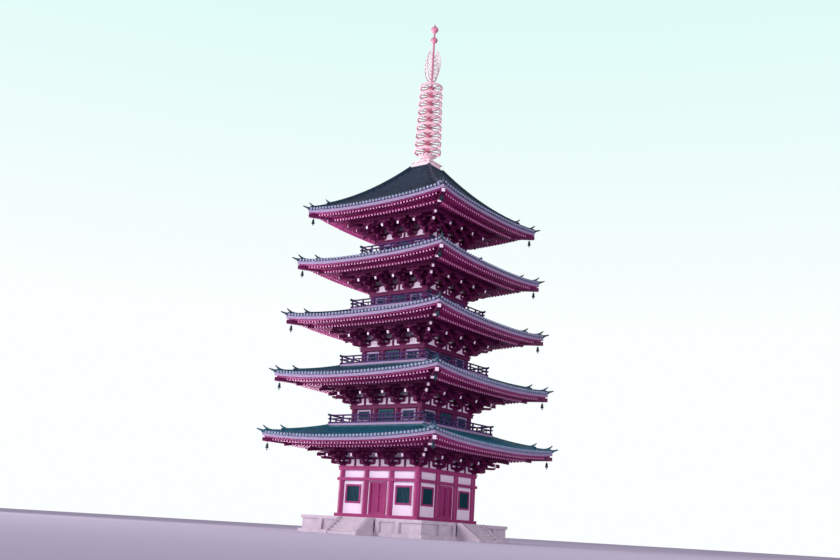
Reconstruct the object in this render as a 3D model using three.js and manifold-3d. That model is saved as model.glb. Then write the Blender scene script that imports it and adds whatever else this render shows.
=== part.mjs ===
// A five-storey temple pagoda with a gilded finial of nine rings, at half its real size.
// All lengths are those of the real building, in metres, with z up and the ground at z = 0.
// The front faces -y. The meshes are written in model millimetres, at 1:2.
import * as THREE from "three";
import { mergeVertices } from "three/addons/utils/BufferGeometryUtils.js";
import Module from "manifold-3d";

const wasm = await Module();
wasm.setup();

const MODEL_MM_PER_METRE = 500; // half size
const GAP = 0.0006; // between pieces that touch: 0.3 mm in the model

// The tower as a whole
const STOREYS = 5;
const BASE_HEIGHT = 1.4;
const BASE_HALF = 6.3;
const FIRST_EAVE_TIP = 8.1; // height of the upturned corner of the lowest eaves
const FIRST_RISE = 5.2; // from the first eaves to the second
const RISE_STEP = 0.1; // less on each higher storey
const FIRST_EAVE_HALF = 9.1;
const EAVE_STEP = 0.39;
const FIRST_BODY_HALF = 3.97; // to the centres of the posts
const BODY_TAPER = 0.9;
const TIP_ABOVE_WALL = 2.5; // from the top of the posts to the upturned corner
const BALCONY_ABOVE_TIP = 1.0;
const BALCONY_REACH = 1.59; // beyond the posts, less on each higher storey
const BALCONY_REACH_STEP = 0.07;
const SLAB = 0.28;
const ROOF_TOP = 33.3; // where the finial stands
const TOWER_TOP = 48.3;

// Eaves and roofs
const CORNER_LIFT = 0.45;
const CORNER_LIFT_POWER = 2.4;
const ALONG = [-1, -0.6, 0, 0.6]; // where one side of a roof bends, from corner to corner
const EAVE_ABOVE_WALL = TIP_ABOVE_WALL - CORNER_LIFT;
const TILE_BED = 0.16;
const FASCIA_BACK = 0.1; // from the edge of the tiles
const FASCIA_DEPTH = 0.43; // from the top of the tiles to the lower edge of the eave board
const FLYING_RAFTER_BACK = 0.5;
const PURLIN_OUT = 2.0;
const PURLIN_WIDTH = 0.24;
const RAFTERS_ABOVE_WALL = 1.68; // underside of the base rafters over the outer purlin
const RAFTER_SLOPE = 0.28;
const BASE_RAFTER_SHARE = 0.69; // of the overhang
const FLYING_RAFTER_SLOPE = 0.08;
const RAFTER_DEPTH = 0.28;
const CORNER_BEAM_WIDTH = 0.34;
// Outlines of the bracket sets: [beyond the posts, above the wall], up to their slanting tails
const STRAIGHT_SET = [[0.35, 0.04], [0.35, 0.4], [1.15, 0.44], [1.15, 0.76]];
STRAIGHT_SET.push([2.2, 0.72], [2.26, 0.97], [2.1, 1.02]); // its tail
const CORNER_SET = [[0.35, 0.04], [0.35, 0.4], [1.65, 0.54], [1.7, 0.8], [1.55, 0.84]];
CORNER_SET.push([2.24, 0.82], [2.3, 1.08], [2.1, 1.12]); // the upper of its two tails
const HIP_WIDTH = 0.36;
const HIP_HEIGHT = 0.3;
const TILE_RIB = { spacing: 2.4, width: 0.22, height: 0.09 }; // the main rows of round tiles
const CORNER_TIP = { reach: 0.44, rise: 0.2 }; // of the corner tile, beyond and above the corner
const FIRST_HORN = { reach: -0.13, rise: 0.55 }; // where the lower tier of the hip ends
const SECOND_HORN = { reach: -1.6, rise: 0.62 }; // where the upper tier ends
const BASE_BEAM_LEAD = 0.15; // of the lower corner beam past the base rafters, as a half side
const FLYING_BEAM_LEAD = -0.12; // of the upper one past the eaves
const BELL_HANG = 0.25;
const BELL_HEIGHT = 0.5;
const BELL_RADIUS = 0.16;
const BELL_BACK = 0.62; // from the corner of the eaves, along the diagonal

// Walls
const BAYS = 3;
const POST_RADIUS = 0.3;
const UPPER_POST_RADIUS = 0.24;
const POST_SIDES = 6;
const WALL_BACK = 0.34; // inner face behind the posts' centres
const WALL_FRONT = 0.04;
const BOARD = 0.08;
const TIE_BELOW_TOP = 0.42;
const DOOR_SHARE = 0.68; // of a bay's width
const WINDOW_SHARE = 0.62;
const FIRST_DOOR = { z0: 0.32, z1: 2.95 }; // above the storey's floor
const FIRST_WINDOW = { z0: 1.15, z1: 2.7 };
const UPPER_DOOR_SILL = 0.16;
const UPPER_WINDOW_SILL = 0.3;
const UPPER_HEAD_BELOW_TOP = 0.4;

// Balconies and steps
const RAIL_HEIGHT = 0.78;
const RAIL_PAST_CORNER = 0.26;
const RAIL_INSET = 0.16; // from the edge of the balcony's floor
const TREADS = 6;
const TREAD_DEPTH = 0.34;
const STEPS_HALF = 1.35;
const CHEEK = 0.32;

// Finial, with heights above the ground
const RINGS = 9;
const FIRST_RING = 35.0;
const RING_SPACING = 0.815;
const FIRST_RING_RADIUS = 1.26;
const LAST_RING_RADIUS = 1.08;
const RIM_SIDES = 10;
const LOTUS_TOP = 34.6;
const FLAME_FOOT = 42.1;
const FLAME_TOP = 45.5;
const SHAFT_RADIUS = 0.13;
const SHAFT_SIDES = 8;
const WHEEL = { z: 46.55, radius: 0.34 };
const JEWEL = { z: 47.75, radius: 0.36 };

// Finishes
const LACQUER = { color: 0x9c1648, roughness: 0.45, metalness: 0 };
const PLASTER = { color: 0xe9d3de, roughness: 0.85, metalness: 0 };
const GREEN_LATTICE = { color: 0x1f6d6d, roughness: 0.55, metalness: 0 };
const ROOF_TILE = { color: 0x2c5a64, roughness: 0.5, metalness: 0.3 };
const GILT = { color: 0xd98c84, roughness: 0.35, metalness: 0.8 };
const GRANITE = { color: 0xb9aeb6, roughness: 0.9, metalness: 0 };

// A closed three.js geometry as a solid that can be joined and cut.
function solid(geometry) {
  const bare = geometry.index ? geometry.toNonIndexed() : geometry.clone();
  for (const name of Object.keys(bare.attributes)) {
    if (name !== "position") bare.deleteAttribute(name);
  }
  const merged = mergeVertices(bare, 1e-5);
  return new wasm.Manifold(
    new wasm.Mesh({
      numProp: 3,
      vertProperties: merged.attributes.position.array,
      triVerts: new Uint32Array(merged.index.array),
    }),
  );
}

const join = (geometries) => geometries.map(solid).reduce((all, next) => all.add(next));

const fourSides = (geometries) =>
  [0, 1, 2, 3].flatMap((quarter) => geometries.map((g) => g.clone().rotateZ((quarter * Math.PI) / 2)));

// A named mesh in model millimetres, from a solid in metres.
function piece(name, shape, finish) {
  const { vertProperties, triVerts, numProp, numVert } = shape.getMesh();
  const position = new Float32Array(numVert * 3);
  for (let i = 0; i < numVert; i++) {
    for (let axis = 0; axis < 3; axis++) {
      position[3 * i + axis] = vertProperties[numProp * i + axis] * MODEL_MM_PER_METRE;
    }
  }
  const geometry = new THREE.BufferGeometry();
  geometry.setAttribute("position", new THREE.BufferAttribute(position, 3));
  geometry.setIndex(new THREE.BufferAttribute(new Uint32Array(triVerts), 1));
  geometry.computeVertexNormals();
  const mesh = new THREE.Mesh(geometry, new THREE.MeshStandardMaterial(finish));
  mesh.name = name;
  return mesh;
}

function box(x0, x1, y0, y1, z0, z1) {
  const geometry = new THREE.BoxGeometry(x1 - x0, y1 - y0, z1 - z0);
  return geometry.translate((x0 + x1) / 2, (y0 + y1) / 2, (z0 + z1) / 2);
}

const square = (half, z0, z1) => box(-half, half, -half, half, z0, z1);

const squareRing = (outer, inner, z0, z1) =>
  solid(square(outer, z0, z1)).subtract(solid(square(inner, z0 - 1, z1 + 1)));

// A plate standing upright: its outline holds [distance from the axis, height], and it is turned
// by an angle from +x.
function fin(outline, thickness, turn) {
  const shape = new THREE.Shape(outline.map(([r, z]) => new THREE.Vector2(r, z)));
  const geometry = new THREE.ExtrudeGeometry(shape, { depth: thickness, bevelEnabled: false });
  return geometry.translate(0, 0, -thickness / 2).rotateX(Math.PI / 2).rotateZ(turn);
}

const turned = (outline, sides) =>
  new THREE.LatheGeometry(
    outline.map(([r, z]) => new THREE.Vector2(r, z)),
    sides,
  ).rotateX(Math.PI / 2);

const post = (radius, x, y, z0, z1, sides) =>
  new THREE.CylinderGeometry(radius, radius, z1 - z0, sides)
    .rotateX(Math.PI / 2)
    .translate(x, y, (z0 + z1) / 2);

// The eaves' upward curve: nothing in the middle of a side (u = 0), all of it at a corner (u = 1).
const lift = (u) => CORNER_LIFT * Math.abs(u) ** CORNER_LIFT_POWER;

// A closed profile swept round the tower. Each station is a square of the given half side, and
// takes the given share of the corners' lift. The profile runs upwards on its outer face.
function skirt(profile) {
  const position = [];
  const index = [];
  const rows = profile.length;
  const columns = 4 * ALONG.length;
  for (let quarter = 0; quarter < 4; quarter++) {
    const cos = Math.round(Math.cos((quarter * Math.PI) / 2));
    const sin = Math.round(Math.sin((quarter * Math.PI) / 2));
    for (const u of ALONG) {
      for (const { half, z, share } of profile) {
        const x = u * half;
        const y = -half;
        position.push(cos * x - sin * y, sin * x + cos * y, z + share * lift(u));
      }
    }
  }
  for (let column = 0; column < columns; column++) {
    const next = (column + 1) % columns;
    for (let row = 0; row < rows; row++) {
      const above = (row + 1) % rows;
      const a = column * rows + row;
      const b = next * rows + row;
      const c = next * rows + above;
      const d = column * rows + above;
      if (profile[row].half >= profile[above].half) index.push(a, b, c, a, c, d);
      else index.push(a, b, d, b, c, d);
    }
  }
  const geometry = new THREE.BufferGeometry();
  geometry.setAttribute("position", new THREE.Float32BufferAttribute(position, 3));
  geometry.setIndex(index);
  return geometry;
}

const eaveTip = (i) => FIRST_EAVE_TIP + i * FIRST_RISE - (RISE_STEP * i * (i - 1)) / 2;

// Every level and half side that one storey's pieces share, with heights above its own floor.
function storeySizes(i) {
  const tip = eaveTip(i);
  const floor = i === 0 ? BASE_HEIGHT : eaveTip(i - 1) + BALCONY_ABOVE_TIP;
  const body = FIRST_BODY_HALF * BODY_TAPER ** i;
  const eave = FIRST_EAVE_HALF - i * EAVE_STEP;
  const wallTop = tip - TIP_ABOVE_WALL - floor;
  const eaveZ = wallTop + EAVE_ABOVE_WALL;
  const last = i === STOREYS - 1;
  const nextBalcony = FIRST_BODY_HALF * BODY_TAPER ** (i + 1) + BALCONY_REACH - i * BALCONY_REACH_STEP;
  return {
    i,
    floor,
    body,
    eave,
    wallTop,
    eaveZ,
    last,
    balcony: body + BALCONY_REACH - (i - 1) * BALCONY_REACH_STEP,
    roofInner: last ? 0.95 : nextBalcony - 0.1,
    nextBalcony,
    roofTop: last ? ROOF_TOP - floor : tip + BALCONY_ABOVE_TIP - SLAB - floor,
    bend: last ? 0.5 : 0.8, // 1 is a straight slope
    stations: last ? [0.3, 0.6, 0.85, 1] : [0.45, 1],
    bay: (2 * body) / BAYS,
    postX: Array.from({ length: BAYS + 1 }, (_, n) => body * ((2 * n) / BAYS - 1)),
    postRadius: i === 0 ? POST_RADIUS : UPPER_POST_RADIUS,
  };
}

// A point of the roof's surface: t is 0 at the eaves and 1 at the roof's top edge.
function roofPoint(s, t, drop = 0) {
  return {
    half: s.eave + (s.roofInner - s.eave) * t,
    z: s.eaveZ + (s.roofTop - GAP - s.eaveZ) * (s.bend * t + (1 - s.bend) * t * t) - drop,
    share: (1 - t) ** 1.5,
  };
}

// The stretch between two stations is straight, so a station put between them lies on it.
function between(first, second, half) {
  const f = (half - first.half) / (second.half - first.half);
  const z = first.z + f * (second.z - first.z);
  return { half, z, share: first.share + f * (second.share - first.share) };
}

// The underside of the tiles, from the fascia inwards: the timber below has the same line.
function bedLine(s) {
  const edge = roofPoint(s, 0, TILE_BED);
  const inner = s.stations.map((t) => roofPoint(s, t, TILE_BED));
  return [between(edge, inner[0], s.eave - FASCIA_BACK), ...inner];
}

const lowered = (points, drop) => points.map((p) => ({ ...p, z: p.z - drop }));

const raftersUnder = (s, half) =>
  s.wallTop + RAFTERS_ABOVE_WALL - RAFTER_SLOPE * (half - s.body - PURLIN_OUT);

// How much of the corners' lift the timber takes: none over the wall, all at the eaves.
const eaveShare = (s, half) =>
  Math.max(0, (half - s.body - PURLIN_OUT) / (s.eave - s.body - PURLIN_OUT)) ** 1.3;

// Tiled roof with its four hip ridges, which end in upturned horns.
function roof(s) {
  const top = [0, ...s.stations].map((t) => roofPoint(s, t));
  const bed = bedLine(s).reverse();
  const profile = [roofPoint(s, 0, TILE_BED), ...top];
  const hole = { half: 0.6, share: 0 };
  if (s.last) profile.push({ ...hole, z: s.roofTop - GAP }, { ...hole, z: bed[0].z });
  profile.push(...bed);
  const hips = [0, 1, 2, 3].map((n) => fin(hipRidge(s), HIP_WIDTH, Math.PI / 4 + (n * Math.PI) / 2));
  return join([skirt(profile), ...hips, ...fourSides(tileRibs(s))]);
}

// Height of the roof's flat faces over a point of the front slope.
function roofFace(s, x, half) {
  const rows = [0, ...s.stations].map((t) => roofPoint(s, t));
  const above = Math.max(1, rows.findIndex((row) => row.half <= half + GAP));
  const p = between(rows[above - 1], rows[above], half);
  const u = Math.abs(x) / half;
  const bend = ALONG[3];
  const outer = Math.max(0, (u - bend) / (1 - bend));
  const edge = outer > 0 ? lift(bend) + (lift(1) - lift(bend)) * outer : (lift(bend) * u) / bend;
  return p.z + p.share * edge;
}

// The main rows of round tiles on the front, straight up the slope as far as the hips or the top.
function tileRibs(s) {
  const count = 2 * Math.floor((s.eave - 0.5) / TILE_RIB.spacing + 0.5);
  const places = Array.from({ length: count }, (_, n) => (n - (count - 1) / 2) * TILE_RIB.spacing);
  return places.map((x) => {
    const end = Math.max(Math.abs(x) + 0.08, s.last ? s.roofInner + 0.1 : s.nextBalcony + 0.03);
    const bends = s.stations.map((t) => roofPoint(s, t).half).filter((half) => half > end + 0.2);
    const halves = [s.eave - 0.03, ...bends, end];
    const upper = halves.map((half) => [half, roofFace(s, x, half) + TILE_RIB.height]);
    const lower = halves.map((half) => [half, roofFace(s, x, half) - 0.05]).reverse();
    return fin([...upper, ...lower], TILE_RIB.width, -Math.PI / 2).translate(x, 0, 0);
  });
}

// Outline of a hip ridge: the corner tile's tip, a low tier and a higher one behind it, each tier
// ending in an upturned horn.
function hipRidge(s) {
  const at = (t, rise, reach = 0) => {
    const p = roofPoint(s, t);
    return [Math.SQRT2 * p.half + reach, p.z + p.share * CORNER_LIFT + rise];
  };
  const back = (reach) => -reach / Math.SQRT2 / (s.eave - s.roofInner);
  const start = s.last ? 0.985 : (s.eave - s.nextBalcony - 0.02) / (s.eave - s.roofInner);
  const first = back(FIRST_HORN.reach);
  const second = back(SECOND_HORN.reach);
  const bends = s.stations.filter((t) => t > second + 0.1 && t < start);
  return [
    at(0.02, -0.1),
    at(0, 0, 0.3),
    at(0, CORNER_TIP.rise, CORNER_TIP.reach),
    at(first, 0.12, 0.06),
    at(first, FIRST_HORN.rise),
    at(first, HIP_HEIGHT / 2, -0.42),
    at(second, HIP_HEIGHT / 2, 0.02),
    at(second, SECOND_HORN.rise),
    at(second, HIP_HEIGHT, -0.42),
    ...bends.map((t) => at(t, HIP_HEIGHT)),
    at(start, HIP_HEIGHT),
    at(start, -0.1),
    ...bends.map((t) => at(t, -0.1)).reverse(),
  ];
}

// Rafters, eave boards and roof frame as one body, with the corner beams and their wind bells.
function eaves(s) {
  const overhang = s.eave - s.body;
  const baseTip = s.body + BASE_RAFTER_SHARE * overhang;
  const baseTipZ = raftersUnder(s, baseTip);
  const flyTip = s.eave - FLYING_RAFTER_BACK;
  const flyTipZ = baseTipZ + RAFTER_DEPTH - FLYING_RAFTER_SLOPE * (flyTip - baseTip);
  const share = (half) => eaveShare(s, half);
  const core = s.body - WALL_BACK;
  const purlin = s.body + PURLIN_OUT + PURLIN_WIDTH / 2;
  const under = [
    { half: core, z: raftersUnder(s, core), share: 0 },
    { half: purlin, z: raftersUnder(s, purlin), share: 0 },
    { half: baseTip, z: baseTipZ, share: share(baseTip) },
    { half: baseTip, z: baseTipZ + RAFTER_DEPTH, share: share(baseTip) },
    { half: flyTip, z: flyTipZ, share: share(flyTip) },
    { half: s.eave - FASCIA_BACK, z: s.eaveZ - FASCIA_DEPTH, share: 1 },
  ];
  const bed = lowered(bedLine(s), GAP);
  const inner = s.roofInner - GAP;
  const top = s.roofTop - GAP;
  const collar = [inner, core].map((half) => ({ half, z: top, share: 0 }));
  const over = s.last
    ? [bed[0], bed[1], { half: core, z: bed[1].z, share: 0 }]
    : [bed[0], bed[1], { ...bed[2], half: inner }, ...collar];
  const beams = [0, 1, 2, 3].flatMap((n) => {
    const turn = Math.PI / 4 + (n * Math.PI) / 2;
    const bell = windBell(s, under).map((g) => g.rotateZ(turn));
    return [fin(cornerBeam(s, under), CORNER_BEAM_WIDTH, turn), ...bell];
  });
  return join([skirt([...under, ...over]), ...beams]);
}

// Outline of the two stepped corner beams under the hip.
function cornerBeam(s, under) {
  const r = (p, rise, reach = 0) => [Math.SQRT2 * p.half + reach, p.z + p.share * CORNER_LIFT + rise];
  const [, purlin, tip, , flying] = under;
  const lead = tip.half + BASE_BEAM_LEAD;
  const low = { half: lead, z: raftersUnder(s, lead), share: eaveShare(s, lead) };
  return [
    r(purlin, 0.2, 0.02),
    r(purlin, -0.06, 0.02),
    r(low, -0.06),
    r(low, 0.2),
    r(flyingAt(s, flying, s.eave + FLYING_BEAM_LEAD), -0.03),
    r(flyingAt(s, flying, s.eave + FLYING_BEAM_LEAD), 0.23),
    r(tip, RAFTER_DEPTH + 0.1),
  ];
}

// A point on the flying rafters' line at the corner.
function flyingAt(s, flying, half) {
  const z = flying.z - FLYING_RAFTER_SLOPE * (half - flying.half);
  return { half, z, share: Math.min(1, eaveShare(s, half)) };
}

function windBell(s, under) {
  const r = Math.SQRT2 * s.eave - BELL_BACK;
  const beam = flyingAt(s, under[4], r / Math.SQRT2);
  const top = beam.z + beam.share * CORNER_LIFT - 0.05 - BELL_HANG;
  const hook = box(r - 0.03, r + 0.03, -0.03, 0.03, top - 0.1, top + BELL_HANG + 0.1);
  const bell = turned(
    [
      [0, -BELL_HEIGHT],
      [BELL_RADIUS, -BELL_HEIGHT],
      [BELL_RADIUS / 2, 0],
      [0, 0],
    ],
    6,
  ).translate(r, 0, top);
  return [hook, bell];
}

// Bracket sets over the posts, stepping out to carry the outer purlin.
function brackets(s) {
  const z = s.wallTop + GAP;
  const outer = s.body + PURLIN_OUT + PURLIN_WIDTH / 2;
  const purlinTop = raftersUnder(s, outer) - GAP;
  const wall = squareRing(s.body + 0.14, s.body - 0.14, z, raftersUnder(s, s.body + 0.14) - 0.03);
  const purlin = squareRing(outer, outer - PURLIN_WIDTH, purlinTop - 0.3, purlinTop);
  const straight = bracketSet(s, purlinTop, 1, STRAIGHT_SET);
  const one = fin(straight, 0.36, -Math.PI / 2);
  const sets = fourSides(s.postX.slice(1, -1).map((x) => one.clone().translate(x, 0, 0)));
  const diagonal = bracketSet(s, purlinTop, Math.SQRT2, CORNER_SET);
  const corners = [0, 1, 2, 3].map((n) => fin(diagonal, 0.36, Math.PI / 4 + (n * Math.PI) / 2));
  return join([...sets, ...corners]).add(wall).add(purlin);
}

// Outline of a bracket set seen from the side, stretched for the diagonal ones at the corners.
function bracketSet(s, top, stretch, outline) {
  const at = (reach, z) => [(s.body + reach) * stretch, z];
  return [
    at(-0.1, s.wallTop + 0.04),
    ...outline.map(([reach, rise]) => at(reach, s.wallTop + rise)),
    at(PURLIN_OUT + 0.05, top - 0.06),
    at(-0.1, top - 0.06),
  ];
}

// The openings of one side, each [centre along the side, its size].
function openings(s) {
  const head = s.wallTop - UPPER_HEAD_BELOW_TOP;
  const door = s.i === 0 ? FIRST_DOOR : { z0: UPPER_DOOR_SILL, z1: head };
  const window = s.i === 0 ? FIRST_WINDOW : { z0: UPPER_WINDOW_SILL, z1: head };
  return [
    [0, { ...door, width: DOOR_SHARE * s.bay }],
    [-s.bay, { ...window, width: WINDOW_SHARE * s.bay }],
    [s.bay, { ...window, width: WINDOW_SHARE * s.bay }],
  ];
}

const filled = (opening, centre, y0, y1, play) =>
  box(
    centre - opening.width / 2 + play,
    centre + opening.width / 2 - play,
    y0,
    y1,
    opening.z0 + play,
    opening.z1 - play,
  );

function cutOpenings(s, wall) {
  const holes = openings(s).map(([x, size]) => filled(size, x, -s.body - 1, -s.body + 1, 0));
  return wall.subtract(join(fourSides(holes)));
}

const postsOf = (s, radius, z0, z1) =>
  fourSides(s.postX.slice(0, -1).map((x) => post(radius, x, -s.body, z0, z1, POST_SIDES)));

// Ground floor: twelve round posts held by a sill, a head rail and the top plates.
function firstFrame(s) {
  const rails = [
    squareRing(s.body + 0.38, s.body + 0.06, GAP, 0.3),
    squareRing(s.body + 0.2, s.body - 0.2, s.wallTop - TIE_BELOW_TOP, s.wallTop - 0.2),
    squareRing(s.body + 0.4, s.body - 0.3, s.wallTop - 0.2, s.wallTop),
  ];
  return rails.reduce((all, rail) => all.add(rail), join(postsOf(s, s.postRadius, GAP, s.wallTop - 0.1)));
}

function firstWalls(s) {
  const ring = squareRing(s.body + WALL_FRONT, s.body - WALL_BACK, GAP, s.wallTop - TIE_BELOW_TOP - GAP);
  return cutOpenings(s, ring.subtract(join(postsOf(s, s.postRadius + GAP, -1, s.wallTop + 1))));
}

// An upper storey's posts, rails and wall panels, cast as one.
function upperWalls(s) {
  const ring = squareRing(s.body + WALL_FRONT, s.body - WALL_BACK, GAP, s.wallTop);
  const plate = squareRing(s.body + 0.34, s.body - 0.2, s.wallTop - 0.16, s.wallTop);
  const posts = join(postsOf(s, s.postRadius, GAP, s.wallTop - 0.1));
  return cutOpenings(s, ring.add(plate).add(posts));
}

// A ring of boards inside the walls, which closes the windows and on upper storeys the doors.
function boards(s) {
  const inside = s.body - WALL_BACK - GAP;
  const closed = openings(s).slice(s.i === 0 ? 1 : 0);
  const low = Math.min(...closed.map(([, size]) => size.z0)) - 0.08;
  const high = Math.max(...closed.map(([, size]) => size.z1)) + 0.08;
  return squareRing(inside, inside - BOARD, low, high);
}

// A closed pair of board doors on the ground floor, with a rail across.
function doors(s) {
  const y = -s.body + 0.08;
  const opening = openings(s)[0][1];
  const leaf = filled(opening, 0, y, y + 0.1, GAP);
  const half = opening.width / 2 - GAP;
  return join([leaf, box(-half, half, y - 0.05, y + 0.05, 1.5, 1.7)]);
}

// Top rails that cross at the corners, over a ring of low and middle rails and short posts.
function railing(s) {
  const line = s.balcony - RAIL_INSET;
  const reach = line + RAIL_PAST_CORNER;
  const top = box(-reach, reach, -line - 0.06, -line + 0.06, RAIL_HEIGHT - 0.12, RAIL_HEIGHT);
  const posts = [-1, 0].map((u) =>
    box(u * line - 0.06, u * line + 0.06, -line - 0.06, -line + 0.06, GAP, RAIL_HEIGHT - 0.04),
  );
  const low = squareRing(line + 0.09, line - 0.09, GAP, 0.13);
  const middle = squareRing(line + 0.04, line - 0.04, 0.42, 0.5);
  return join(fourSides([top, ...posts])).add(low).add(middle);
}

function stoneBase() {
  return join([
    square(BASE_HALF + 0.12, 0, 0.3),
    square(BASE_HALF - 0.1, 0.2, BASE_HEIGHT - 0.1),
    square(BASE_HALF, BASE_HEIGHT - 0.28, BASE_HEIGHT),
  ]);
}

// A flight up the front of the base between two sloping cheek stones.
function flight() {
  const back = BASE_HALF + 0.12 + GAP;
  const riser = (BASE_HEIGHT - 0.02) / TREADS;
  const outline = [[back, 0]];
  for (let n = 0; n < TREADS; n++) {
    const edge = back + (TREADS - n) * TREAD_DEPTH;
    outline.push([edge, n * riser], [edge, (n + 1) * riser]);
  }
  outline.push([back, TREADS * riser]);
  const cheek = [
    [back, 0],
    [back + TREADS * TREAD_DEPTH + 0.1, 0],
    [back + TREADS * TREAD_DEPTH + 0.1, 0.24],
    [back + 0.4, BASE_HEIGHT],
    [back, BASE_HEIGHT],
  ];
  const sides = [-1, 1].map((side) =>
    fin(cheek, CHEEK, -Math.PI / 2).translate(side * (STEPS_HALF + CHEEK / 2), 0, 0),
  );
  return join([fin(outline, 2 * STEPS_HALF + 0.02, -Math.PI / 2), ...sides]);
}

// Dew basin, upturned bowl and lotus under the rings.
function finialBase() {
  const z = ROOF_TOP;
  const bowl = [
    [0, z + 0.5],
    [0.78, z + 0.5],
    [0.72, z + 0.78],
    [0.42, z + 0.95],
    [0.3, z + 0.98],
    [0.7, z + 1.1],
    [0.9, LOTUS_TOP],
    [0, LOTUS_TOP],
  ];
  return join([square(0.9, z, z + 0.44), square(1.05, z + 0.4, z + 0.55), turned(bowl, 12)]);
}

// One ring: a rim of triangular section on a bar through the shaft.
function ringAt(n) {
  const z = FIRST_RING + n * RING_SPACING;
  const radius = FIRST_RING_RADIUS + ((LAST_RING_RADIUS - FIRST_RING_RADIUS) * n) / (RINGS - 1);
  const rim = turned(
    [
      [radius - 0.16, z],
      [radius, z - 0.11],
      [radius, z + 0.11],
      [radius - 0.16, z],
    ],
    RIM_SIDES,
  );
  const bar = box(0.06 - radius, radius - 0.06, -0.04, 0.04, z - 0.03, z + 0.03);
  return [rim, bar.rotateZ((n % 2) * (Math.PI / 2))];
}

function finialRings() {
  const shaft = post(SHAFT_RADIUS, 0, 0, LOTUS_TOP + GAP, FLAME_FOOT, SHAFT_SIDES);
  return join([shaft, ...Array.from({ length: RINGS }, (_, n) => ringAt(n)).flat()]);
}

// The openwork flame: four wings round the shaft, plain outlines here.
function flame() {
  const wing = [
    [0.05, FLAME_FOOT + 0.15],
    [0.62, FLAME_FOOT + 0.25],
    [0.98, FLAME_FOOT + 0.75],
    [0.9, FLAME_FOOT + 1.6],
    [0.62, FLAME_FOOT + 2.5],
    [0.2, FLAME_TOP],
    [0.05, FLAME_TOP],
  ];
  const wings = [0, 1, 2, 3].map((n) => fin(wing, 0.09, (n * Math.PI) / 2));
  return join([post(SHAFT_RADIUS, 0, 0, FLAME_FOOT + GAP, FLAME_TOP, SHAFT_SIDES), ...wings]);
}

// Two balls on the shaft, the upper one drawn out to a point.
function jewels() {
  const outline = [
    [0, FLAME_TOP + GAP],
    [0.1, FLAME_TOP + GAP],
    [0.1, WHEEL.z - 0.3],
    [WHEEL.radius, WHEEL.z - 0.08],
    [WHEEL.radius, WHEEL.z + 0.08],
    [0.1, WHEEL.z + 0.3],
    [0.1, JEWEL.z - 0.34],
    [JEWEL.radius, JEWEL.z - 0.1],
    [JEWEL.radius - 0.04, JEWEL.z + 0.14],
    [0, TOWER_TOP],
  ];
  return turned(outline, SHAFT_SIDES);
}

function storey(i) {
  const s = storeySizes(i);
  const group = new THREE.Group();
  group.position.z = s.floor * MODEL_MM_PER_METRE;
  const n = i + 1;
  if (i === 0) {
    group.add(piece("frame_1", firstFrame(s), LACQUER), piece("walls_1", firstWalls(s), PLASTER));
    group.add(piece("window_boards_1", boards(s), GREEN_LATTICE));
    ["front", "right", "back", "left"].forEach((side, quarter) => {
      const pair = piece(`doors_${side}`, doors(s), LACQUER);
      pair.rotation.z = (quarter * Math.PI) / 2;
      group.add(pair);
    });
  } else {
    group.add(piece(`balcony_floor_${n}`, solid(square(s.balcony, -SLAB, 0)), LACQUER));
    group.add(piece(`balcony_railing_${n}`, railing(s), LACQUER));
    group.add(piece(`walls_${n}`, upperWalls(s), LACQUER));
    group.add(piece(`door_and_window_boards_${n}`, boards(s), GREEN_LATTICE));
  }
  group.add(piece(`brackets_${n}`, brackets(s), LACQUER));
  group.add(piece(`eaves_${n}`, eaves(s), LACQUER));
  group.add(piece(`roof_${n}`, roof(s), ROOF_TILE));
  return group;
}

const pagoda = new THREE.Group();
pagoda.add(piece("stone_base", stoneBase(), GRANITE));
["front", "right", "back", "left"].forEach((side, quarter) => {
  const steps = piece(`steps_${side}`, flight(), GRANITE);
  steps.rotation.z = (quarter * Math.PI) / 2;
  pagoda.add(steps);
});
for (let i = 0; i < STOREYS; i++) pagoda.add(storey(i));
pagoda.add(piece("finial_base", finialBase(), GILT));
pagoda.add(piece("finial_rings", finialRings(), GILT));
pagoda.add(piece("finial_flame", flame(), GILT));
pagoda.add(piece("finial_jewels", solid(jewels()), GILT));

export default pagoda;
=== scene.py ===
# %% [markdown]
# # A five-storey pagoda
# Five square storeys, each under a wide tiled roof, carry a gilded finial with nine rings. The
# model is half the size of the real tower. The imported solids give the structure, and this lesson
# dresses them: rows of round tiles, rafters with pale ends, stepped brackets, lattices and rails.

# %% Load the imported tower
import math
from types import SimpleNamespace

import bpy
import numpy as np
from mathutils import Matrix, Vector


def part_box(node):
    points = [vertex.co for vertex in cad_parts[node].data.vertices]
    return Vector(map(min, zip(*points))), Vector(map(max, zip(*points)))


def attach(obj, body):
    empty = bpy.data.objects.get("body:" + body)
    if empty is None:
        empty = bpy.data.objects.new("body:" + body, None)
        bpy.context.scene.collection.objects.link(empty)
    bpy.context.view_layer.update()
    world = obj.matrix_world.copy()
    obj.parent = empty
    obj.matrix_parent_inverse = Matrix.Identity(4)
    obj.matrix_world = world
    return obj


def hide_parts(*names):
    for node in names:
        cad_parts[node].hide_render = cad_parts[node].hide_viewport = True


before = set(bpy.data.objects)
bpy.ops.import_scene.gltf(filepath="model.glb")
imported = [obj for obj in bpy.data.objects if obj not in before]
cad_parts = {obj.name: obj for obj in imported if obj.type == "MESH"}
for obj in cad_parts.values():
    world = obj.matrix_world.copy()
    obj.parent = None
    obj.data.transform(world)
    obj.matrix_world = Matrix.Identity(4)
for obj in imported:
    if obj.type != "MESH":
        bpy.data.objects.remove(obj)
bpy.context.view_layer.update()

# %% [markdown]
# ## The storeys' sizes
# Carpenters lay out such a tower from a few numbers: the height of each eave, the width of each
# storey's body and the reach of its eaves. The same numbers drive this file. They are metres of
# the real tower, with the foot of its base at zero, and HALF_SIZE turns them into the model's
# metres when a mesh is made.

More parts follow.
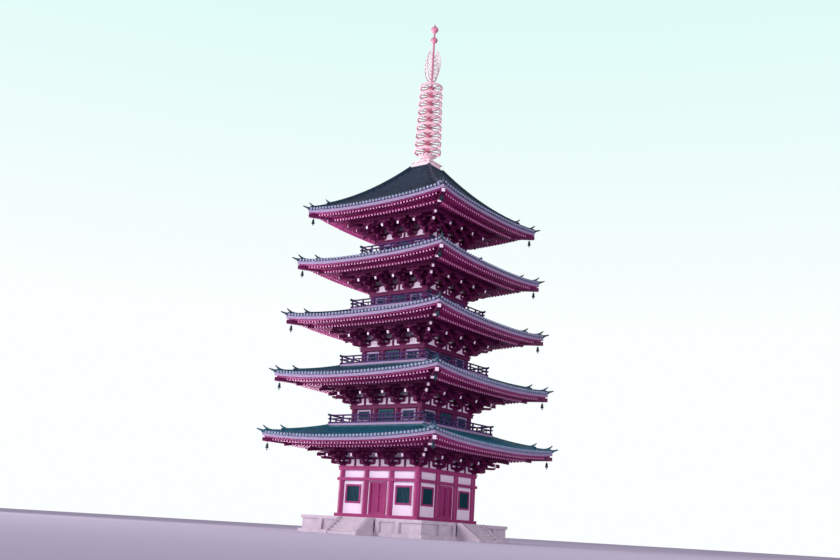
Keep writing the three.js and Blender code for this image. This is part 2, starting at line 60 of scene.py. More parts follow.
# %% Driving sizes
HALF_SIZE = 0.5
STOREYS = 5
BAYS = 3
BASE_HEIGHT = 1.4
BASE_HALF = 6.3
FIRST_EAVE_TIP = 8.1
FIRST_RISE = 5.2
RISE_STEP = 0.1
FIRST_EAVE_HALF = 9.1
EAVE_STEP = 0.39
FIRST_BODY_HALF = 3.97
BODY_TAPER = 0.9
TIP_ABOVE_WALL = 2.5
BALCONY_ABOVE_TIP = 1.0
BALCONY_REACH = 1.59
BALCONY_REACH_STEP = 0.07
SLAB = 0.28
ROOF_TOP = 33.3
TOWER_TOP = 48.3
CORNER_LIFT = 0.45
CORNER_LIFT_POWER = 2.4
LIFT_FADE = 2.0
PURLIN_OUT = 2.0
RAFTERS_ABOVE_WALL = 1.68
RAFTER_SLOPE = 0.28
FLYING_SLOPE = 0.08
BASE_RAFTER_SHARE = 0.69
TIER = 0.25
FLYING_BACK = 0.5


def eave_tip(k):
    """Height of the upturned corner of storey k's eaves, counted from 0."""
    return FIRST_EAVE_TIP + k * FIRST_RISE - RISE_STEP * k * (k - 1) / 2


def storey_sizes(k):
    """Every level and half width that the pieces of storey k share."""
    s = SimpleNamespace(k=k, number=k + 1, last=k == STOREYS - 1)
    s.tip = eave_tip(k)
    s.floor = eave_tip(k - 1) + BALCONY_ABOVE_TIP if k else BASE_HEIGHT
    s.body = FIRST_BODY_HALF * BODY_TAPER**k
    s.eave = FIRST_EAVE_HALF - k * EAVE_STEP
    s.wall_top = s.tip - TIP_ABOVE_WALL
    s.eave_z = s.tip - CORNER_LIFT
    s.balcony = s.body + BALCONY_REACH - (k - 1) * BALCONY_REACH_STEP
    next_balcony = FIRST_BODY_HALF * BODY_TAPER ** (k + 1) + BALCONY_REACH - k * BALCONY_REACH_STEP
    s.roof_inner = 0.95 if s.last else next_balcony - 0.1
    s.roof_top = ROOF_TOP if s.last else s.tip + BALCONY_ABOVE_TIP - SLAB
    s.bend = 0.5 if s.last else 0.8
    s.bay = 2 * s.body / BAYS
    s.posts = s.body * (2 * np.arange(BAYS + 1) / BAYS - 1)
    s.post_radius = 0.24 if k else 0.3
    s.base_tip = s.body + BASE_RAFTER_SHARE * (s.eave - s.body)
    s.fly_tip = s.eave - FLYING_BACK
    return s


tower = [storey_sizes(k) for k in range(STOREYS)]
for s in tower:
    solid_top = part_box(f"brackets_{s.number}")[0].z / HALF_SIZE
    levels = f"floor {s.floor:.2f}, wall top {s.wall_top:.2f} (solid {solid_top:.2f})"
    print(f"storey {s.number}: {levels}, eaves {2 * s.eave:.2f} wide")

# %% [markdown]
# ## Shapes as arrays
# Every piece below is worked out with numpy: arrays of points and arrays of faces, with no loop
# over single points. A shape is kept as its points and a list of face tables, one table for
# four-cornered faces, another for caps with more corners. Repeating a shape is then one
# multiplication, which is why hundreds of rafters cost no more lines than one.

# %% Joining, turning and repeating shapes
QUARTER_TURNS = [0, 90, 180, 270]
DIAGONALS = [45, 135, 225, 315]


def volume(points, tables):
    """Signed volume: each face is a fan of triangles, and the six-fold volume between the origin
    and a triangle is its first corner times the cross product of the other two."""
    total = 0.0
    for table in tables:
        corner = points[table]
        for n in range(1, table.shape[1] - 1):
            total += np.einsum("ij,ij->", corner[:, 0], np.cross(corner[:, n], corner[:, n + 1]))
    return total / 6


def shape(points, *tables):
    """Points and faces as one shape, with every face turned outwards if the volume is negative."""
    points = np.asarray(points, float).reshape(-1, 3)
    tables = [np.asarray(table, int) for table in tables]
    if volume(points, tables) < 0:
        tables = [table[:, ::-1] for table in tables]
    return SimpleNamespace(points=points, tables=tables)


def join(*shapes):
    """Several shapes as one: each one's face numbers go up by the count of points before it."""
    starts = np.cumsum([0] + [len(one.points) for one in shapes])
    tables = [table + start for one, start in zip(shapes, starts) for table in one.tables]
    return SimpleNamespace(points=np.vstack([one.points for one in shapes]), tables=tables)


def copies(one, places, turns):
    """The shape at every place, turned about the vertical by that place's angle in degrees."""
    places = np.atleast_2d(places)
    angles = np.radians(np.broadcast_to(turns, len(places)))[:, None]
    x, y, z = one.points.T
    points = np.stack(
        [
            np.cos(angles) * x - np.sin(angles) * y + places[:, :1],
            np.sin(angles) * x + np.cos(angles) * y + places[:, 1:2],
            z + places[:, 2:3],
        ],
        axis=-1,
    )
    steps = len(x) * np.arange(len(places))[:, None, None]
    tables = [(table + steps).reshape(-1, table.shape[1]) for table in one.tables]
    return SimpleNamespace(points=points.reshape(-1, 3), tables=tables)


def moved(one, x, y, z):
    """The shape shifted to one place."""
    return copies(one, [(x, y, z)], 0)


def spun(one, turns):
    """The shape turned about the tower's middle line, once for each angle in degrees."""
    return copies(one, np.zeros((len(turns), 3)), turns)


def four_sides(one):
    """The front side's shape, and the same on the right, back and left."""
    return spun(one, QUARTER_TURNS)


def at_corners(one):
    """A shape built along +x, set on the four diagonals."""
    return spun(one, DIAGONALS)


def along_side(x, y, z):
    """Points along a side: one at every x, all at y, and at a height that may change with x."""
    return np.stack([x, 0 * x + y, 0 * x + z], -1)


# %% Bars, blocks and turned shapes
BAR_FACES = [[0, 1, 2, 3], [7, 6, 5, 4], [0, 4, 5, 1], [1, 5, 6, 2], [2, 6, 7, 3], [3, 7, 4, 0]]


def bars(start, end, width, depth):
    """Straight bars with a rectangular section: each end is the middle line's end, plus and minus
    half the width sideways and half the depth upwards, square to the bar."""
    start, end = np.broadcast_arrays(np.atleast_2d(start), np.atleast_2d(end))
    along = (end - start) / np.linalg.norm(end - start, axis=1, keepdims=True)
    steep = np.abs(along[:, 2:3]) > 0.999
    upright = np.where(steep, [[0.0, 1.0, 0.0]], [[0.0, 0.0, 1.0]])
    side = np.cross(along, upright)
    side /= np.linalg.norm(side, axis=1, keepdims=True)
    up = np.cross(side, along)
    corners = [(-1, -1), (1, -1), (1, 1), (-1, 1)]
    ring = np.stack([a * width / 2 * side + b * depth / 2 * up for a, b in corners], axis=1)
    points = np.concatenate([start[:, None] + ring, end[:, None] + ring], axis=1)
    faces = np.array(BAR_FACES) + 8 * np.arange(len(start))[:, None, None]
    return shape(points, faces.reshape(-1, 4))


def box(x0, x1, y0, y1, z0, z1):
    """An upright box between two corners."""
    return bars([x0, (y0 + y1) / 2, (z0 + z1) / 2], [x1, (y0 + y1) / 2, (z0 + z1) / 2], y1 - y0, z1 - z0)


def body_faces(levels, count):
    """Faces of a body through this many rings of points: sides between neighbours, and two caps."""
    here = np.arange(count)
    after = (here + 1) % count
    step = count * np.arange(levels - 1)[:, None]
    sides = np.stack([here + step, after + step, after + step + count, here + step + count], axis=-1)
    caps = np.stack([here[::-1], here + count * (levels - 1)])
    return sides.reshape(-1, 4), caps


def stacked(rings):
    """A closed body through rings of equal count, from one end to the other."""
    rings = np.asarray(rings, float)
    return shape(rings, *body_faces(*rings.shape[:2]))


def closed_loop(rings):
    """A closed profile carried right round: neighbours are joined, and the last ring to the first."""
    columns, rows = rings.shape[:2]
    number = np.arange(columns * rows).reshape(columns, rows)
    right = np.roll(number, -1, axis=0)
    faces = np.stack([number, right, np.roll(right, -1, axis=1), np.roll(number, -1, axis=1)], axis=-1)
    return shape(rings, faces.reshape(-1, 4))


def turned(outline, sides):
    """A profile of (radius, height) turned about the vertical: radius times cosine and sine."""
    outline = np.asarray(outline, float)
    angle = 2 * np.pi * np.arange(sides) / sides
    radius = np.maximum(outline[:, 0], 0.002)[:, None]
    height = np.broadcast_to(outline[:, 1:2], (len(outline), sides))
    return stacked(np.stack([radius * np.cos(angle), radius * np.sin(angle), height], axis=-1))


def plate(outline, thickness):
    """A flat outline of (x, z) with a thickness across y."""
    outline = np.asarray(outline, float)
    x, z = outline.T
    faces = [np.stack([x, np.full_like(x, y), z], axis=-1) for y in (-thickness / 2, thickness / 2)]
    return stacked(faces)


def mirrored(right):
    """The points of an outline's right half, and then their mirror images in reverse order."""
    right = np.asarray(right, float)
    return np.concatenate([right, right[::-1] * [-1, 1]])


def tube(path, radius, sides=8):
    """A round bar along a path in the x-z plane: at each point a circle square to the path."""
    path = np.asarray(path, float)
    radius = np.broadcast_to(radius, len(path))[:, None, None]
    forward = np.gradient(path, axis=0)
    forward /= np.linalg.norm(forward, axis=1, keepdims=True)
    angle = 2 * np.pi * np.arange(sides) / sides
    out = np.stack([-forward[:, 1], np.zeros(len(path)), forward[:, 0]], axis=-1)[:, None]
    across = np.array([0.0, 1.0, 0.0])
    middle = np.stack([path[:, 0], np.zeros(len(path)), path[:, 1]], axis=-1)[:, None]
    return stacked(middle + radius * (np.cos(angle)[:, None] * out + np.sin(angle)[:, None] * across))


def slab(grid, thickness):
    """A sheet of points, rows by columns, given a thickness upwards, with all its edges closed."""
    rows, columns = grid.shape[:2]
    number = np.arange(rows * columns).reshape(rows, columns)
    cells = np.stack([number[:-1, :-1], number[:-1, 1:], number[1:, 1:], number[1:, :-1]], axis=-1)
    cells = cells.reshape(-1, 4)
    top = cells[:, ::-1] + rows * columns
    rim = np.concatenate([number[0, :-1], number[:-1, -1], number[-1, :0:-1], number[:0:-1, 0]])
    ahead = np.roll(rim, -1)
    wall = np.stack([ahead, rim, rim + rows * columns, ahead + rows * columns], axis=-1)
    points = np.concatenate([grid.reshape(-1, 3), grid.reshape(-1, 3) + [0, 0, thickness]])
    return shape(points, cells, top, wall)


# %% [markdown]
# ## Shapes that follow the eaves
# The eaves are straight in the middle of each side and sweep up to the corners. One function gives
# that lift, and everything at the eaves asks it for its height: boards, rafters and tiles.

# %% The upward sweep of the eaves
ALONG = 20
SHARE_POWER = 1.3


def lift(u):
    """The corners' lift times the distance from the middle of the side to the power 2.4."""
    return CORNER_LIFT * np.abs(u) ** CORNER_LIFT_POWER


def eave_share(s, half):
    """How much of the lift a ring of this half width takes: none at the purlin, all at the edge."""
    reach = (half - s.body - PURLIN_OUT) / (s.eave - s.body - PURLIN_OUT)
    return np.clip(reach, 0, 1) ** SHARE_POWER


def square_ring(profile):
    """A closed profile carried round the tower. Each of its points is (half width, height, share
    of the lift), and the corners are mitred."""
    half, height, share = np.asarray(profile, float).T
    u = np.linspace(-1, 1, ALONG + 1)[:-1, None]
    side = np.stack([u * half, -half + 0 * u, height + share * lift(u)], axis=-1)
    turns = [Matrix.Rotation(math.radians(a), 3, "Z") for a in QUARTER_TURNS]
    return closed_loop(np.concatenate([side @ np.array(turn).T for turn in turns]))


def band(outer, inner, low, high, share=0.0):
    """A ring of rectangular section, which takes one share of the lift all over."""
    lower, upper = (low, share), (high, share)
    return square_ring([(outer, *lower), (outer, *upper), (inner, *upper), (inner, *lower)])


def roof_height(s, half, u):
    """Height of the tiles: from the eaves to the top edge along a slightly hollow curve, plus the
    corners' lift, which fades towards the top."""
    t = np.clip((s.eave - half) / (s.eave - s.roof_inner), 0, 1)
    rise = s.bend * t + (1 - s.bend) * t**2
    return s.eave_z + (s.roof_top - s.eave_z) * rise + (1 - t) ** LIFT_FADE * lift(u)


def base_rafter_height(s, half, u):
    """Underside of the lower rafters: a straight slope through the outer purlin, plus the lift."""
    slope = s.wall_top + RAFTERS_ABOVE_WALL - RAFTER_SLOPE * (half - s.body - PURLIN_OUT)
    return slope + eave_share(s, half) * lift(u)


def flying_rafter_height(s, half, u):
    """Underside of the upper rafters, which lie on the lower ones' tips at a gentler slope."""
    tip = base_rafter_height(s, s.base_tip, 0)
    return tip + TIER - FLYING_SLOPE * (half - s.base_tip) + eave_share(s, half) * lift(u)


# %% [markdown]
# ## Finishes
# The lacquer is crimson on the ground storey and the rafters. The wood above is a darker plum
# copy of it, and the boards between parts a darker crimson: both are painted shade, for the
# shade under the eaves. The rails are dark violet, painted shade as well. Rafter ends are pinkish
# white and beam ends white. The board under the tiles, the balcony edges and the upper window
# frames are white paint greyed to lavender, which is painted shade. The tiles turn from sea green
# on the low roofs to slate on the high ones: the lighter low roofs are painted light. The tile end
# discs and ridge end faces are a pale copy of the glaze, a painted highlight, and the finial is a
# rosy gilt. Two effects are shared, so they are node groups: uneven ageing of a colour, and the
# pale dust that settles on faces that look upwards.

# %% Colour and node helpers


def linear(red, green, blue):
    """A screen colour from 0 to 255 as the linear values that shaders work in."""
    value = np.array([red, green, blue]) / 255
    return tuple(np.where(value <= 0.04045, value / 12.92, ((value + 0.055) / 1.055) ** 2.4)) + (1.0,)


def new_group(name, inputs, outputs):
    """An empty shader node group with its named sockets."""
    group = bpy.data.node_groups.new(name, "ShaderNodeTree")
    for socket, kind, default in inputs:
        made = group.interface.new_socket(socket, in_out="INPUT", socket_type=kind)
        if default is not None:
            made.default_value = default
    for socket, kind in outputs:
        group.interface.new_socket(socket, in_out="OUTPUT", socket_type=kind)
    entry, leave = group.nodes.new("NodeGroupInput"), group.nodes.new("NodeGroupOutput")
    return group, entry, leave


def add_node(tree, kind, inputs=None, **settings):
    """A node with its settings, whose inputs are values or the sockets that feed them."""
    node = tree.nodes.new(kind)
    for name, value in settings.items():
        setattr(node, name, value)
    for name, value in (inputs or {}).items():
        if isinstance(value, bpy.types.NodeSocket):
            tree.links.new(value, node.inputs[name])
        else:
            node.inputs[name].default_value = value
    return node


def on_object(tree):
    """The place on the object, in its own metres."""
    return add_node(tree, "ShaderNodeTexCoord").outputs["Object"]


def noise(tree, scale, detail, roughness=0.5):
    """Noise over the object, around a half."""
    values = {"Vector": on_object(tree), "Scale": scale, "Detail": detail, "Roughness": roughness}
    return add_node(tree, "ShaderNodeTexNoise", values).outputs["Fac"]


def arithmetic(tree, operation, first, second):
    """The result of one operation on two values."""
    return add_node(tree, "ShaderNodeMath", {0: first, 1: second}, operation=operation).outputs[0]


def mapped(tree, value, old=(0.0, 1.0), new=(0.0, 1.0)):
    """A value moved from its old limits to new ones, and held within them."""
    limits = {"From Min": old[0], "From Max": old[1], "To Min": new[0], "To Max": new[1]}
    return add_node(tree, "ShaderNodeMapRange", {"Value": value, **limits}).outputs["Result"]


def mixed(tree, share, first, second):
    """The first colour, with this share of the second one."""
    values = {"Factor": share, "A": first, "B": second}
    return add_node(tree, "ShaderNodeMix", values, data_type="RGBA").outputs["Result"]


def height_of(tree, vector):
    """The upward part of a place or a direction."""
    return add_node(tree, "ShaderNodeSeparateXYZ", {"Vector": vector}).outputs["Z"]


# %% Two shared node groups
COLOUR, VALUE = "NodeSocketColor", "NodeSocketFloat"


def build_ageing():
    """Broad noise makes a colour lighter and darker, and fine noise roughens the surface."""
    inputs = [("Color", COLOUR, None), ("Scale", VALUE, 1.0), ("Amount", VALUE, 0.2)]
    outputs = [("Color", COLOUR), ("Mask", VALUE), ("Height", VALUE)]
    group, entry, leave = new_group("ageing", inputs, outputs)
    broad = noise(group, entry.outputs["Scale"], 5.0, 0.6)
    mask = mapped(group, broad, old=(0.3, 0.7))
    low = arithmetic(group, "SUBTRACT", 1.0, entry.outputs["Amount"])
    high = arithmetic(group, "ADD", 1.0, entry.outputs["Amount"])
    scaled = {0: entry.outputs["Color"], "Scale": mapped(group, mask, new=(low, high))}
    colour = add_node(group, "ShaderNodeVectorMath", scaled, operation="SCALE")
    group.links.new(colour.outputs[0], leave.inputs["Color"])
    group.links.new(mask, leave.inputs["Mask"])
    group.links.new(noise(group, 60.0, 3.0), leave.inputs["Height"])
    return group


def build_dust():
    """Faces that look upwards take some of the dust's colour, in patches."""
    inputs = [("Color", COLOUR, None), ("Dust", COLOUR, None), ("Amount", VALUE, 0.3)]
    group, entry, leave = new_group("dust", inputs, [("Color", COLOUR)])
    normal = add_node(group, "ShaderNodeNewGeometry").outputs["Normal"]
    upward = mapped(group, height_of(group, normal), old=(0.2, 1.0))
    patchy = arithmetic(group, "MULTIPLY", upward, noise(group, 3.0, 4.0))
    amount = arithmetic(group, "MULTIPLY", patchy, entry.outputs["Amount"])
    dusted = mixed(group, amount, entry.outputs["Color"], entry.outputs["Dust"])
    group.links.new(dusted, leave.inputs["Color"])
    return group


ageing, dust = build_ageing(), build_dust()

print("node groups:", ageing.name, "and", dust.name)

# %% The materials


def new_material(name, roughness, metallic=0.0):
    """A material with its Principled shader, whose even values stay on the shader's own sockets."""
    material = bpy.data.materials.new(name)
    material.use_nodes = True
    tree = material.node_tree
    shader = tree.nodes["Principled BSDF"]
    shader.inputs["Roughness"].default_value = roughness
    shader.inputs["Metallic"].default_value = metallic
    return material, tree, shader


LOW_ROOF = 4.6
HIGH_ROOF = 9.2
DUST_COLOUR = linear(205, 190, 205)


def painted_light_by_height(tree, low, high):
    """A colour that changes from the lowest roof to the third one, by the height in the model.
    The lighter colour low down is painted light on the low roofs.
    """
    share = mapped(tree, height_of(tree, on_object(tree)), old=(LOW_ROOF, HIGH_ROOF))
    return mixed(tree, share, low, high)


def painted(
    name,
    colour,
    roughness=0.45,
    amount=0.15,
    scale=1.2,
    dusty=0.25,
    metallic=0.0,
    bump=0.15,
    shine=0.5,
    low=None,
):
    """A coat of paint, glaze or metal leaf with uneven ageing, dust on top and a faint grain. With
    a low colour, it changes with the height, lighter low down: painted light on the low roofs."""
    material, tree, shader = new_material(name, roughness, metallic)
    shader.inputs["Specular IOR Level"].default_value = shine
    values = {"Color": colour, "Scale": scale, "Amount": amount}
    aged = add_node(tree, "ShaderNodeGroup", values, node_tree=ageing)
    if low:
        tree.links.new(painted_light_by_height(tree, low, colour), aged.inputs["Color"])
    values = {"Color": aged.outputs["Color"], "Dust": DUST_COLOUR, "Amount": dusty}
    dusted = add_node(tree, "ShaderNodeGroup", values, node_tree=dust)
    tree.links.new(dusted.outputs["Color"], shader.inputs["Base Color"])
    rough = mapped(tree, aged.outputs["Mask"], new=(roughness - 0.08, roughness + 0.1))
    tree.links.new(rough, shader.inputs["Roughness"])
    depth = {"Strength": bump, "Distance": 0.004}
    grain = add_node(tree, "ShaderNodeBump", {"Height": aged.outputs["Height"], **depth})
    tree.links.new(grain.outputs["Normal"], shader.inputs["Normal"])
    return material


crimson = painted("crimson_lacquer", linear(152, 46, 108), roughness=0.42, amount=0.16, shine=0.25)
# Painted shade: a darker copy of the crimson lacquer for boards between and behind other parts, such as
# walls, ceilings, eave and balcony boards.
painted_shade_crimson = painted("painted_shade_crimson_boards", linear(106, 26, 76), roughness=0.5, amount=0.2, shine=0.15)
# Painted shade: a darker plum copy of the crimson lacquer, for the wood that stands in shade under the
# eaves.
painted_shade_plum = painted("painted_shade_plum_lacquer", linear(96, 22, 72), roughness=0.48, amount=0.18, shine=0.15, dusty=0.15)
# Painted shade: the rails' lacquer is a dark violet, for the shade the balconies stand in.
painted_shade_rail_paint = painted("painted_shade_rail_lacquer", linear(62, 34, 92), roughness=0.45, shine=0.2, dusty=0.3)
white = painted("white_paint", linear(240, 222, 240), roughness=0.6, amount=0.06, dusty=0.1)
pink_white = painted("rafter_end_paint", linear(226, 162, 206), roughness=0.6, amount=0.08, dusty=0.1)
# Painted shade: white paint greyed to lavender, for the pale eave board, balcony edges and upper window
# frames in shade.
painted_shade_lavender = painted("pale_eave_board", linear(152, 134, 168), roughness=0.6, amount=0.08, dusty=0.1)
plaster = painted("lime_plaster", linear(236, 222, 240), roughness=0.85, amount=0.05, dusty=0.1, bump=0.3)
teal = painted("blue_green_paint", linear(10, 68, 84), roughness=0.5, amount=0.15, shine=0.2)
glaze = {"amount": 0.3, "dusty": 0.08, "shine": 0.3}
# Painted light: the low colour makes the low roofs a lighter sea green, for the light that falls on them.
tile = painted("roof_tile", linear(24, 56, 76), 0.42, scale=2.5, low=linear(14, 104, 124), **glaze)
ridge_tile = painted("ridge_tile", linear(20, 48, 68), 0.45, scale=3.0, low=linear(12, 84, 102), **glaze)
# Painted highlight: a pale copy of the tile glaze for the end discs and the ridges' end faces, for the
# light on them.
painted_highlight_tile = painted("painted_highlight_tile_ends", linear(150, 158, 186), roughness=0.5, amount=0.15, scale=4.0, dusty=0.1)
gilt = painted("gilding", linear(250, 206, 216), amount=0.12, scale=2.0, metallic=0.3, dusty=0.2, bump=0.1)
pale_gilt = painted("pale_gilding", linear(252, 226, 230), amount=0.1, scale=2.0, metallic=0.2, dusty=0.0)
rose_gilt = painted("rose_gilding", linear(222, 146, 166), amount=0.12, scale=2.0, metallic=0.3, dusty=0.0)
bronze = painted("dark_bronze", linear(18, 60, 70), amount=0.25, metallic=0.5, dusty=0.1)
granite = painted("granite", linear(196, 184, 196), 0.8, amount=0.12, scale=3.0, dusty=0.2, bump=0.5)
print("materials:", ", ".join(material.name for material in bpy.data.materials))

# %% Making a piece
SHARP_ANGLE = 35


def piece(name, made, material, slot, replaced=()):
    """A mesh object from a shape, in the model's metres, riding on the tower."""
    mesh = bpy.data.meshes.new(name)
    loops = np.concatenate([table.ravel() for table in made.tables])
    sizes = np.concatenate([np.full(len(table), table.shape[1]) for table in made.tables])
    mesh.vertices.add(len(made.points))
    mesh.vertices.foreach_set("co", (made.points * HALF_SIZE).ravel())
    mesh.loops.add(len(loops))
    mesh.loops.foreach_set("vertex_index", loops.astype(np.int32))
    mesh.polygons.add(len(sizes))
    first_loop = np.concatenate([[0], np.cumsum(sizes)[:-1]])
    mesh.polygons.foreach_set("loop_start", first_loop.astype(np.int32))
    mesh.update(calc_edges=True)
    mesh.validate()
    mesh.polygons.foreach_set("use_smooth", np.ones(len(sizes), bool))
    mesh.set_sharp_from_angle(angle=math.radians(SHARP_ANGLE))
    mesh.materials.append(material)
    made_object = bpy.data.objects.new(name, mesh)
    bpy.context.scene.collection.objects.link(made_object)
    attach(made_object, "root")
    if replaced:
        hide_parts(*replaced)
    piece.triangles[name] = int((sizes - 2).sum())
    return made_object


piece.triangles = {}


def tell(title):
    """Prints how many pieces and triangles were made since it last did so."""
    made = list(piece.triangles.values())[tell.told :]
    tell.told += len(made)
    print(f"{title}: {len(made)} pieces, {sum(made)} triangles")


tell.told = 0

# %% [markdown]
# ## Camera, floor and light
# The photograph was taken from low down in front of a corner of the tower, so the camera stands
# just over the floor, looks up, and leans a little. Broad soft lamps stand in front, at the left
# and far off at the right, and one lies flat near the floor to light the eaves from below. The
# floor is pale and plain, and the backdrop turns from white to a faint green as it climbs.

# %% Camera
CAMERA_AZIMUTH = 37.0
CAMERA_DISTANCE = 43.0
CAMERA_HEIGHT = 0.25
CAMERA_ROLL = 3.4
AIM_HEIGHT = 11.3
LENS = 42

camera_data = bpy.data.cameras.new("camera")
camera_data.sensor_width = 36
camera_data.lens = LENS
camera_data.clip_end = 500
camera = bpy.data.objects.new("camera", camera_data)
bpy.context.scene.collection.objects.link(camera)
azimuth = math.radians(CAMERA_AZIMUTH)
ahead = math.sin(azimuth), -math.cos(azimuth)
camera.location = (ahead[0] * CAMERA_DISTANCE, ahead[1] * CAMERA_DISTANCE, CAMERA_HEIGHT)
view = (Vector((0, 0, AIM_HEIGHT)) - camera.location).to_track_quat("-Z", "Y").to_matrix()
camera.rotation_euler = (view @ Matrix.Rotation(math.radians(CAMERA_ROLL), 3, "Z")).to_euler()
bpy.context.scene.camera = camera
print("camera at", [round(value, 2) for value in camera.location])

# %% Floor, backdrop and lamps
FLOOR_HALF = 400
floor_mesh = bpy.data.meshes.new("floor")
floor_corners = FLOOR_HALF * np.array([(-1, -1, 0), (1, -1, 0), (1, 1, 0), (-1, 1, 0)])
floor_mesh.from_pydata(floor_corners.tolist(), [], [(0, 1, 2, 3)])
floor = bpy.data.objects.new("floor", floor_mesh)
bpy.context.scene.collection.objects.link(floor)
floor_paint, _, floor_shader = new_material("floor", 0.9)
floor_shader.inputs["Base Color"].default_value = linear(214, 208, 228)
floor_mesh.materials.append(floor_paint)

world = bpy.data.worlds.new("sky")
world.use_nodes = True
sky = world.node_tree
sky_light = sky.nodes["Background"]
sky_light.inputs["Color"].default_value = linear(236, 228, 244)
sky_light.inputs["Strength"].default_value = 0.5
ray = add_node(sky, "ShaderNodeTexCoord").outputs["Generated"]
climb = mapped(sky, height_of(sky, ray), old=(0.2, 0.6))
sky_colour = mixed(sky, climb, linear(252, 255, 255), linear(212, 250, 245))
sky_seen = add_node(sky, "ShaderNodeBackground", {"Color": sky_colour})
seen = add_node(sky, "ShaderNodeLightPath").outputs["Is Camera Ray"]
layers = {"Fac": seen, 1: sky_light.outputs[0], 2: sky_seen.outputs[0]}
sky_mix = add_node(sky, "ShaderNodeMixShader", layers)
sky.links.new(sky_mix.outputs[0], sky.nodes["World Output"].inputs["Surface"])
bpy.context.scene.world = world
bpy.context.scene.view_settings.view_transform = "Standard"


def lamp(name, place, aim, size, power, colour, spread=180):
    """A square soft lamp at a place, turned to what it lights. A grid keeps a lamp's light within
    a spread angle, in degrees, and so off the floor near it; at 180 there is no grid."""
    data = bpy.data.lights.new(name, "AREA")
    data.size, data.energy, data.color = size, power, colour
    data.spread = math.radians(spread)
    made = bpy.data.objects.new(name, data)
    made.location = place
    made.rotation_euler = (Vector(aim) - Vector(place)).to_track_quat("-Z", "Y").to_euler()
    made.visible_camera = False
    bpy.context.scene.collection.objects.link(made)


lamp("front_lamp", (-16, -60, 17), (0, 0, 10), 15, 6900, (1.0, 0.94, 0.98), 100)
lamp("left_lamp", (-40, -12, 7), (-2, 0, 12), 11, 2400, (1.0, 0.92, 0.98), 70)
lamp("floor_lamp", (-14, 1, 0.3), (-14, 1.01, 9), 14, 6500, (0.96, 0.9, 1.0))
lamp("right_lamp", (52, -24, 11), (0, 0, 11), 18, 2800, (0.98, 0.93, 1.0), 90)

# %% [markdown]
# ## Stone base and steps
# The base is built of dressed stone: a plinth course, short pillars with slabs between them, and
# a course of cap stones. The joints show, so the courses are separate blocks with narrow gaps,
# in front of one plain core, whose sides stand for the slabs.

# %% Base of dressed stone
JOINT = 0.02
PAVING_SLABS = 9
PAVING_THICKNESS = 0.03


def stone_row(half, count, depth, z0, z1):
    """One course round the base: blocks side by side along each side with joints between them."""
    edges = np.linspace(-half, half, count + 1)
    left = edges[:-1]
    start = along_side(left + JOINT / 2, -half + depth / 2, (z0 + z1) / 2)
    end = start.copy()
    end[:, 0] = edges[1:] - JOINT / 2
    return four_sides(bars(start, end, depth, z1 - z0))


def base_shapes():
    """Plinth, pillars and cap stones round a core, with paving slabs on top."""
    pillars = np.linspace(-BASE_HALF + 0.3, BASE_HALF - 0.3, 7)[1:-1]
    foot = along_side(pillars, -BASE_HALF + 0.02, 0.28)
    head = foot + [0, 0, BASE_HEIGHT - 0.54]
    top = BASE_HALF - 0.42
    core = BASE_HALF - 0.12
    middles = (np.arange(PAVING_SLABS) + 0.5) / PAVING_SLABS * 2 * top - top
    places = np.stack(np.meshgrid(middles, middles, [BASE_HEIGHT - PAVING_THICKNESS]), -1).reshape(-1, 3)
    slab_half = top / PAVING_SLABS - JOINT / 2
    paving_slab = box(-slab_half, slab_half, -slab_half, slab_half, 0, PAVING_THICKNESS)
    return join(
        box(-core, core, -core, core, 0, BASE_HEIGHT - 0.032),
        stone_row(BASE_HALF + 0.12, 9, 0.5, 0, 0.3),
        four_sides(bars(foot, head, 0.34, 0.3)),
        stone_row(BASE_HALF, 8, 0.42, BASE_HEIGHT - 0.26, BASE_HEIGHT),
        copies(paving_slab, places, 0),
    )


piece("dressed_stone_base", base_shapes(), granite, "granite", ["stone_base"])
tell("base")

# %% Flights of steps
TREADS = 6
TREAD_DEPTH = 0.34
STEPS_HALF = 1.35
CHEEK = 0.32


def flight():
    """Treads as blocks that rise towards the base, between two sloping cheek stones."""
    back = BASE_HALF + 0.122
    rise = (BASE_HEIGHT - 0.02) / TREADS
    n = np.arange(TREADS)
    middle = -(back + (TREADS - n) * TREAD_DEPTH / 2)
    start = np.stack([0 * n - STEPS_HALF + 0.01, middle, (n + 0.5) * rise], -1)
    end = start * [-1, 1, 1]
    treads = [bars(start[i], end[i], (TREADS - i) * TREAD_DEPTH, rise - 0.008) for i in n]
    foot = back + TREADS * TREAD_DEPTH + 0.1
    outline = [(back, 0), (foot, 0), (foot, 0.24), (back + 0.4, BASE_HEIGHT), (back, BASE_HEIGHT)]
    cheek = spun(plate(outline, CHEEK), [-90])
    places = np.array([(-STEPS_HALF - CHEEK / 2, 0, 0), (STEPS_HALF + CHEEK / 2, 0, 0)])
    return join(*treads, copies(cheek, places, 0))


for name, turn in zip(["front", "right", "back", "left"], QUARTER_TURNS):
    piece(f"stone_steps_{name}", spun(flight(), [turn]), granite, "granite", [f"steps_{name}"])
tell("steps")

# %% [markdown]
# ## Walls
# Round posts stand at the bay lines. Sill and head rails clasp them, and plaster or boards fill
# the bays. The middle bay has a door of two leaves, and each outer bay a window with upright
# lattice bars.

# %% Posts, rails and panels
DOOR_SHARE = 0.68
WINDOW_SHARE = 0.62
HEAD_BELOW_TOP = 0.4


def openings(s):
    """Door and window heights of a storey: sill and head, above the foot of the base."""
    if s.k == 0:
        return (s.floor + 0.32, s.floor + 2.95), (s.floor + 1.15, s.floor + 2.7)
    head = s.wall_top - HEAD_BELOW_TOP
    return (s.floor + 0.16, head), (s.floor + 0.3, head)


def posts(s):
    """Round posts at the bay lines, with a slight narrowing at head and foot."""
    height = s.wall_top - s.floor
    r = s.post_radius
    outline = [(r * 0.94, 0), (r, height * 0.25), (r, height * 0.75), (r * 0.92, height)]
    places = along_side(s.posts[:-1], -s.body, s.floor)
    return four_sides(copies(turned(outline, 20), places, 0))


